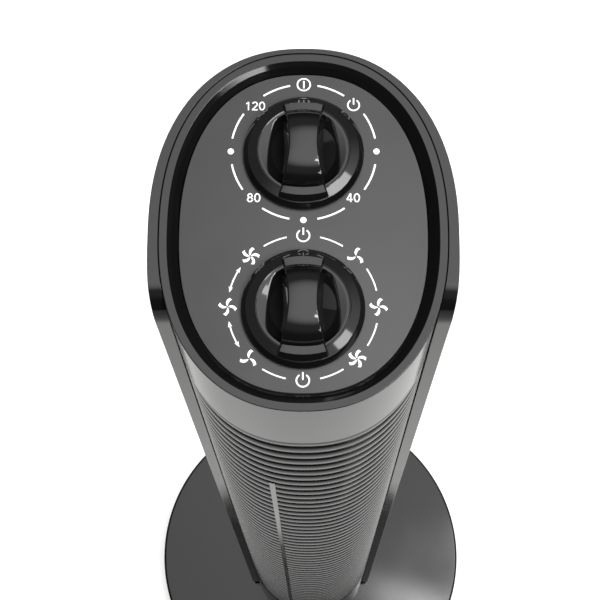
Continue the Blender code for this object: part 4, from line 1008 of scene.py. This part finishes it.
def knob_grip(name, centre_y, low):
    """The grip bar: a rounded trapezium section whose width and height change along the bar.

    Its top is an arch that falls as one minus the cube of the way along it, to the power 0.6, down
    to a short shelf at each end. From there a toe slopes down over the lip. Its half width grows
    from the waist as the way to the end, to the power 1.7. Seen from above both ends are round."""
    arch_y = np.sin(np.linspace(0, 1, 70) * np.pi / 2) * GRIP_SHELF[0]
    end_y = [GRIP_END - 0.0003, GRIP_END, GRIP_END + 0.0003]
    outer_y = [GRIP_SHELF[0] + 0.0004] + end_y + [GRIP_TOE - 0.0003, GRIP_TOE]
    half_along = np.concatenate([arch_y, outer_y])
    along = np.concatenate([-half_along[:0:-1], half_along])
    reach = np.abs(along)
    end = np.where(along > 0, GRIP_BACK_HALF, GRIP_FRONT_HALF)
    half = GRIP_WAIST_HALF + (end - GRIP_WAIST_HALF) * np.clip(reach / GRIP_END, 0, 1.25) ** 1.7
    drop = np.clip(1 - (reach / GRIP_SHELF[0]) ** 3, 0, 1) ** 0.6
    crest = GRIP_SHELF[1] + (GRIP_TOP - GRIP_SHELF[1]) * drop
    toe = np.clip((reach - GRIP_END) / (GRIP_TOE - GRIP_END), 0, 1)
    crest = crest - toe * (GRIP_SHELF[1] - GRIP_FOOT - GRIP_TOE_HEIGHT)
    right_x, right_z = [np.zeros_like(half)], [crest]
    for across in (0.35, 0.70):
        right_x.append((half - GRIP_FILLET) * across)
        right_z.append(crest - GRIP_CROWN * across**2)
    for angle in np.radians(np.linspace(90, 9, 6)):
        right_x.append(half - GRIP_FILLET + GRIP_FILLET * np.cos(angle))
        right_z.append(crest - GRIP_CROWN - GRIP_FILLET * (1 - np.sin(angle)))
    right_x.append(half + GRIP_FLARE * (crest - GRIP_FOOT))
    right_z.append(np.full_like(half, GRIP_FOOT))
    right_x, right_z = np.array(right_x).T, np.maximum(np.array(right_z).T, GRIP_FOOT)
    x = np.concatenate([right_x, -right_x[:, :0:-1]], 1)
    z = np.concatenate([right_z, right_z[:, :0:-1]], 1)
    y = along[:, None] * np.sqrt(1 - (x / GRIP_END_RADIUS) ** 2)
    grid = np.stack([x, y + centre_y, z + low], -1)
    faces = [face[::-1] for face in ring_faces(*x.shape) + end_faces(*x.shape)]
    return meshed(name, grid, faces, knob_black, 30)


for knob, body in (("timer_knob", "timer_dial"), ("speed_knob", "speed_dial")):
    knob_low, knob_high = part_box(knob)
    centre_y = (knob_low.y + knob_high.y) / 2
    radius = (knob_high.x - knob_low.x) / 2
    disc = knob_disc(knob + "_disc", centre_y, knob_low.z, radius)
    grip = knob_grip(knob + "_grip", centre_y, knob_low.z)
    for piece in (disc, grip):
        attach(piece, body)
        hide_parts(knob)

# Drum impeller: black glass-filled nylon, four rings joined by many thin curved blades. Its lowest
# and highest rings reach in to the shaft. It shows dimly through the gaps of the grille.

impeller_low, impeller_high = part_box("impeller")
IMPELLER_RADIUS = (impeller_high.x - impeller_low.x) / 2
IMPELLER_Y = (impeller_high.y + impeller_low.y) / 2
BLADE_COUNT = 32
BLADE_DEPTH = 0.0075
BLADE_SWEEP = math.radians(20)
BLADE_THICKNESS = 0.0007
BLADE_INSET = 0.0004
RING_COUNT = 4
RING_THICKNESS = 0.0020
RING_OVERLAP = 0.0010
RING_STEPS = 96
SHAFT_GAP = 0.0033


def moulded(name, tone, roughness, grain, depth):
    """A matt moulding: a grey with light mottling, uneven sheen and a fine grain."""
    made, tree, shader = finish_of(name)
    coordinates = tree.nodes.new("ShaderNodeTexCoord").outputs["Object"]
    mottle = noise(tree, 90.0, 5.0, coordinates)
    dark = tuple(channel * 0.82 for channel in tone)
    light = tuple(channel * 1.18 for channel in tone)
    tree.links.new(tinted(tree, mottle, [(0.3, dark), (0.7, light)]), shader.inputs["Base Color"])
    sheen = ranged(tree, mottle, roughness - 0.06, roughness + 0.08, 0.3, 0.7)
    tree.links.new(sheen, shader.inputs["Roughness"])
    bumped(tree, shader, noise(tree, grain, 3.0, coordinates), depth)
    return made


black_moulding = moulded("matt_black_moulding", (0.022, 0.022, 0.023), 0.50, 3200.0, 0.00001)
ring_inner = IMPELLER_RADIUS - BLADE_DEPTH - RING_OVERLAP
ring_bottoms = np.linspace(impeller_low.z, impeller_high.z - RING_THICKNESS, RING_COUNT)
turn = np.linspace(0, 2 * np.pi, RING_STEPS, endpoint=False)
drum_points, drum_faces = [], []
drum_count = 0
for i, low in enumerate(ring_bottoms):
    inner = SHAFT_GAP if i in (0, RING_COUNT - 1) else ring_inner
    radius = np.array((inner, IMPELLER_RADIUS, IMPELLER_RADIUS, inner))[:, None]
    height = np.array((low, low, low + RING_THICKNESS, low + RING_THICKNESS))[:, None]
    x, y = radius * np.cos(turn), IMPELLER_Y + radius * np.sin(turn)
    drum_points.append(np.stack([x, y, np.broadcast_to(height, x.shape)], -1).reshape(-1, 3))
    drum_faces += (np.array(ring_faces(*x.shape, closed_rows=True)) + drum_count).tolist()
    drum_count += x.size
reach = np.linspace(IMPELLER_RADIUS - BLADE_DEPTH, IMPELLER_RADIUS - BLADE_INSET, 6)
lean = BLADE_SWEEP * ((reach - reach[0]) / BLADE_DEPTH) ** 1.6
for blade in range(BLADE_COUNT):
    turn = 2 * np.pi * blade / BLADE_COUNT + lean
    x, y = reach * np.cos(turn), reach * np.sin(turn)
    back_x, back_y = pushed(x, y, BLADE_THICKNESS, closed=False)
    loop_x, loop_y = np.concatenate([x, back_x[::-1]]), np.concatenate([y, back_y[::-1]])
    size = len(loop_x)
    for z in (impeller_low.z + BLADE_INSET, impeller_high.z - BLADE_INSET):
        drum_points.append(np.column_stack([loop_x, loop_y + IMPELLER_Y, np.full(size, z)]))
    low = np.arange(size) + drum_count
    high = low + size
    drum_faces += [tuple(low.tolist()), tuple(high[::-1].tolist())]
    drum_faces += np.stack([low, high, np.roll(high, -1), np.roll(low, -1)], 1).tolist()
    drum_count += 2 * size
drum = meshed("impeller_drum", np.concatenate(drum_points), drum_faces, black_moulding, 40)
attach(drum, "impeller_rotor")
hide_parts("impeller")

# Pieces whose shape is already right keep it, and take the finish of what they are made of:
# matt mouldings, rubber, plated steel, painted iron, bronze, nylon and the capacitor's case.

rubber = moulded("soft_black_rubber", (0.016, 0.016, 0.016), 0.80, 1800.0, 0.00003)
nylon = moulded("natural_nylon", (0.72, 0.70, 0.64), 0.42, 1200.0, 0.000008)
film_case = moulded("capacitor_grey", (0.34, 0.36, 0.38), 0.38, 900.0, 0.00001)


def metal(name, tone, roughness, streaks, depth):
    """A metal: a tone that varies in patches, with fine scratches drawn out along Z."""
    made, tree, shader = finish_of(name)
    coordinates = tree.nodes.new("ShaderNodeTexCoord").outputs["Object"]
    patches = noise(tree, 70.0, 5.0, coordinates)
    stretch = tree.nodes.new("ShaderNodeMapping")
    stretch.inputs["Scale"].default_value = (1, 1, 0.06)
    tree.links.new(coordinates, stretch.inputs["Vector"])
    scratches = noise(tree, streaks, 3.0, stretch.outputs["Vector"])
    dark = tuple(channel * 0.80 for channel in tone)
    tree.links.new(tinted(tree, patches, [(0.25, dark), (0.75, tone)]), shader.inputs["Base Color"])
    sheen = ranged(tree, scratches, roughness - 0.10, roughness + 0.12, 0.3, 0.7)
    tree.links.new(sheen, shader.inputs["Roughness"])
    shader.inputs["Metallic"].default_value = 1.0
    bumped(tree, shader, scratches, depth)
    return made


zinc = metal("zinc_plated_steel", (0.62, 0.63, 0.64), 0.34, 2400.0, 0.000004)
iron = metal("painted_iron", (0.20, 0.20, 0.21), 0.55, 1200.0, 0.00001)
bronze = metal("sintered_bronze", (0.52, 0.36, 0.20), 0.45, 3000.0, 0.000006)

FINISHES = {
    "black_plastic": black_moulding,
    "loom_sleeve": black_moulding,
    "rubber_black": rubber,
    "zinc_steel": zinc,
    "iron_core": iron,
    "bronze": bronze,
    "nylon_white": nylon,
    "capacitor_case": film_case,
    "gloss_black_plastic": shell_black,
    "satin_panel": panel_look,
}
for row in frame["record"]["subparts"]:
    mesh = frame["nodes"][row["node"]].data
    mesh.materials.clear()
    mesh.materials.append(FINISHES[row["material_slot"]])

low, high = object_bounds()
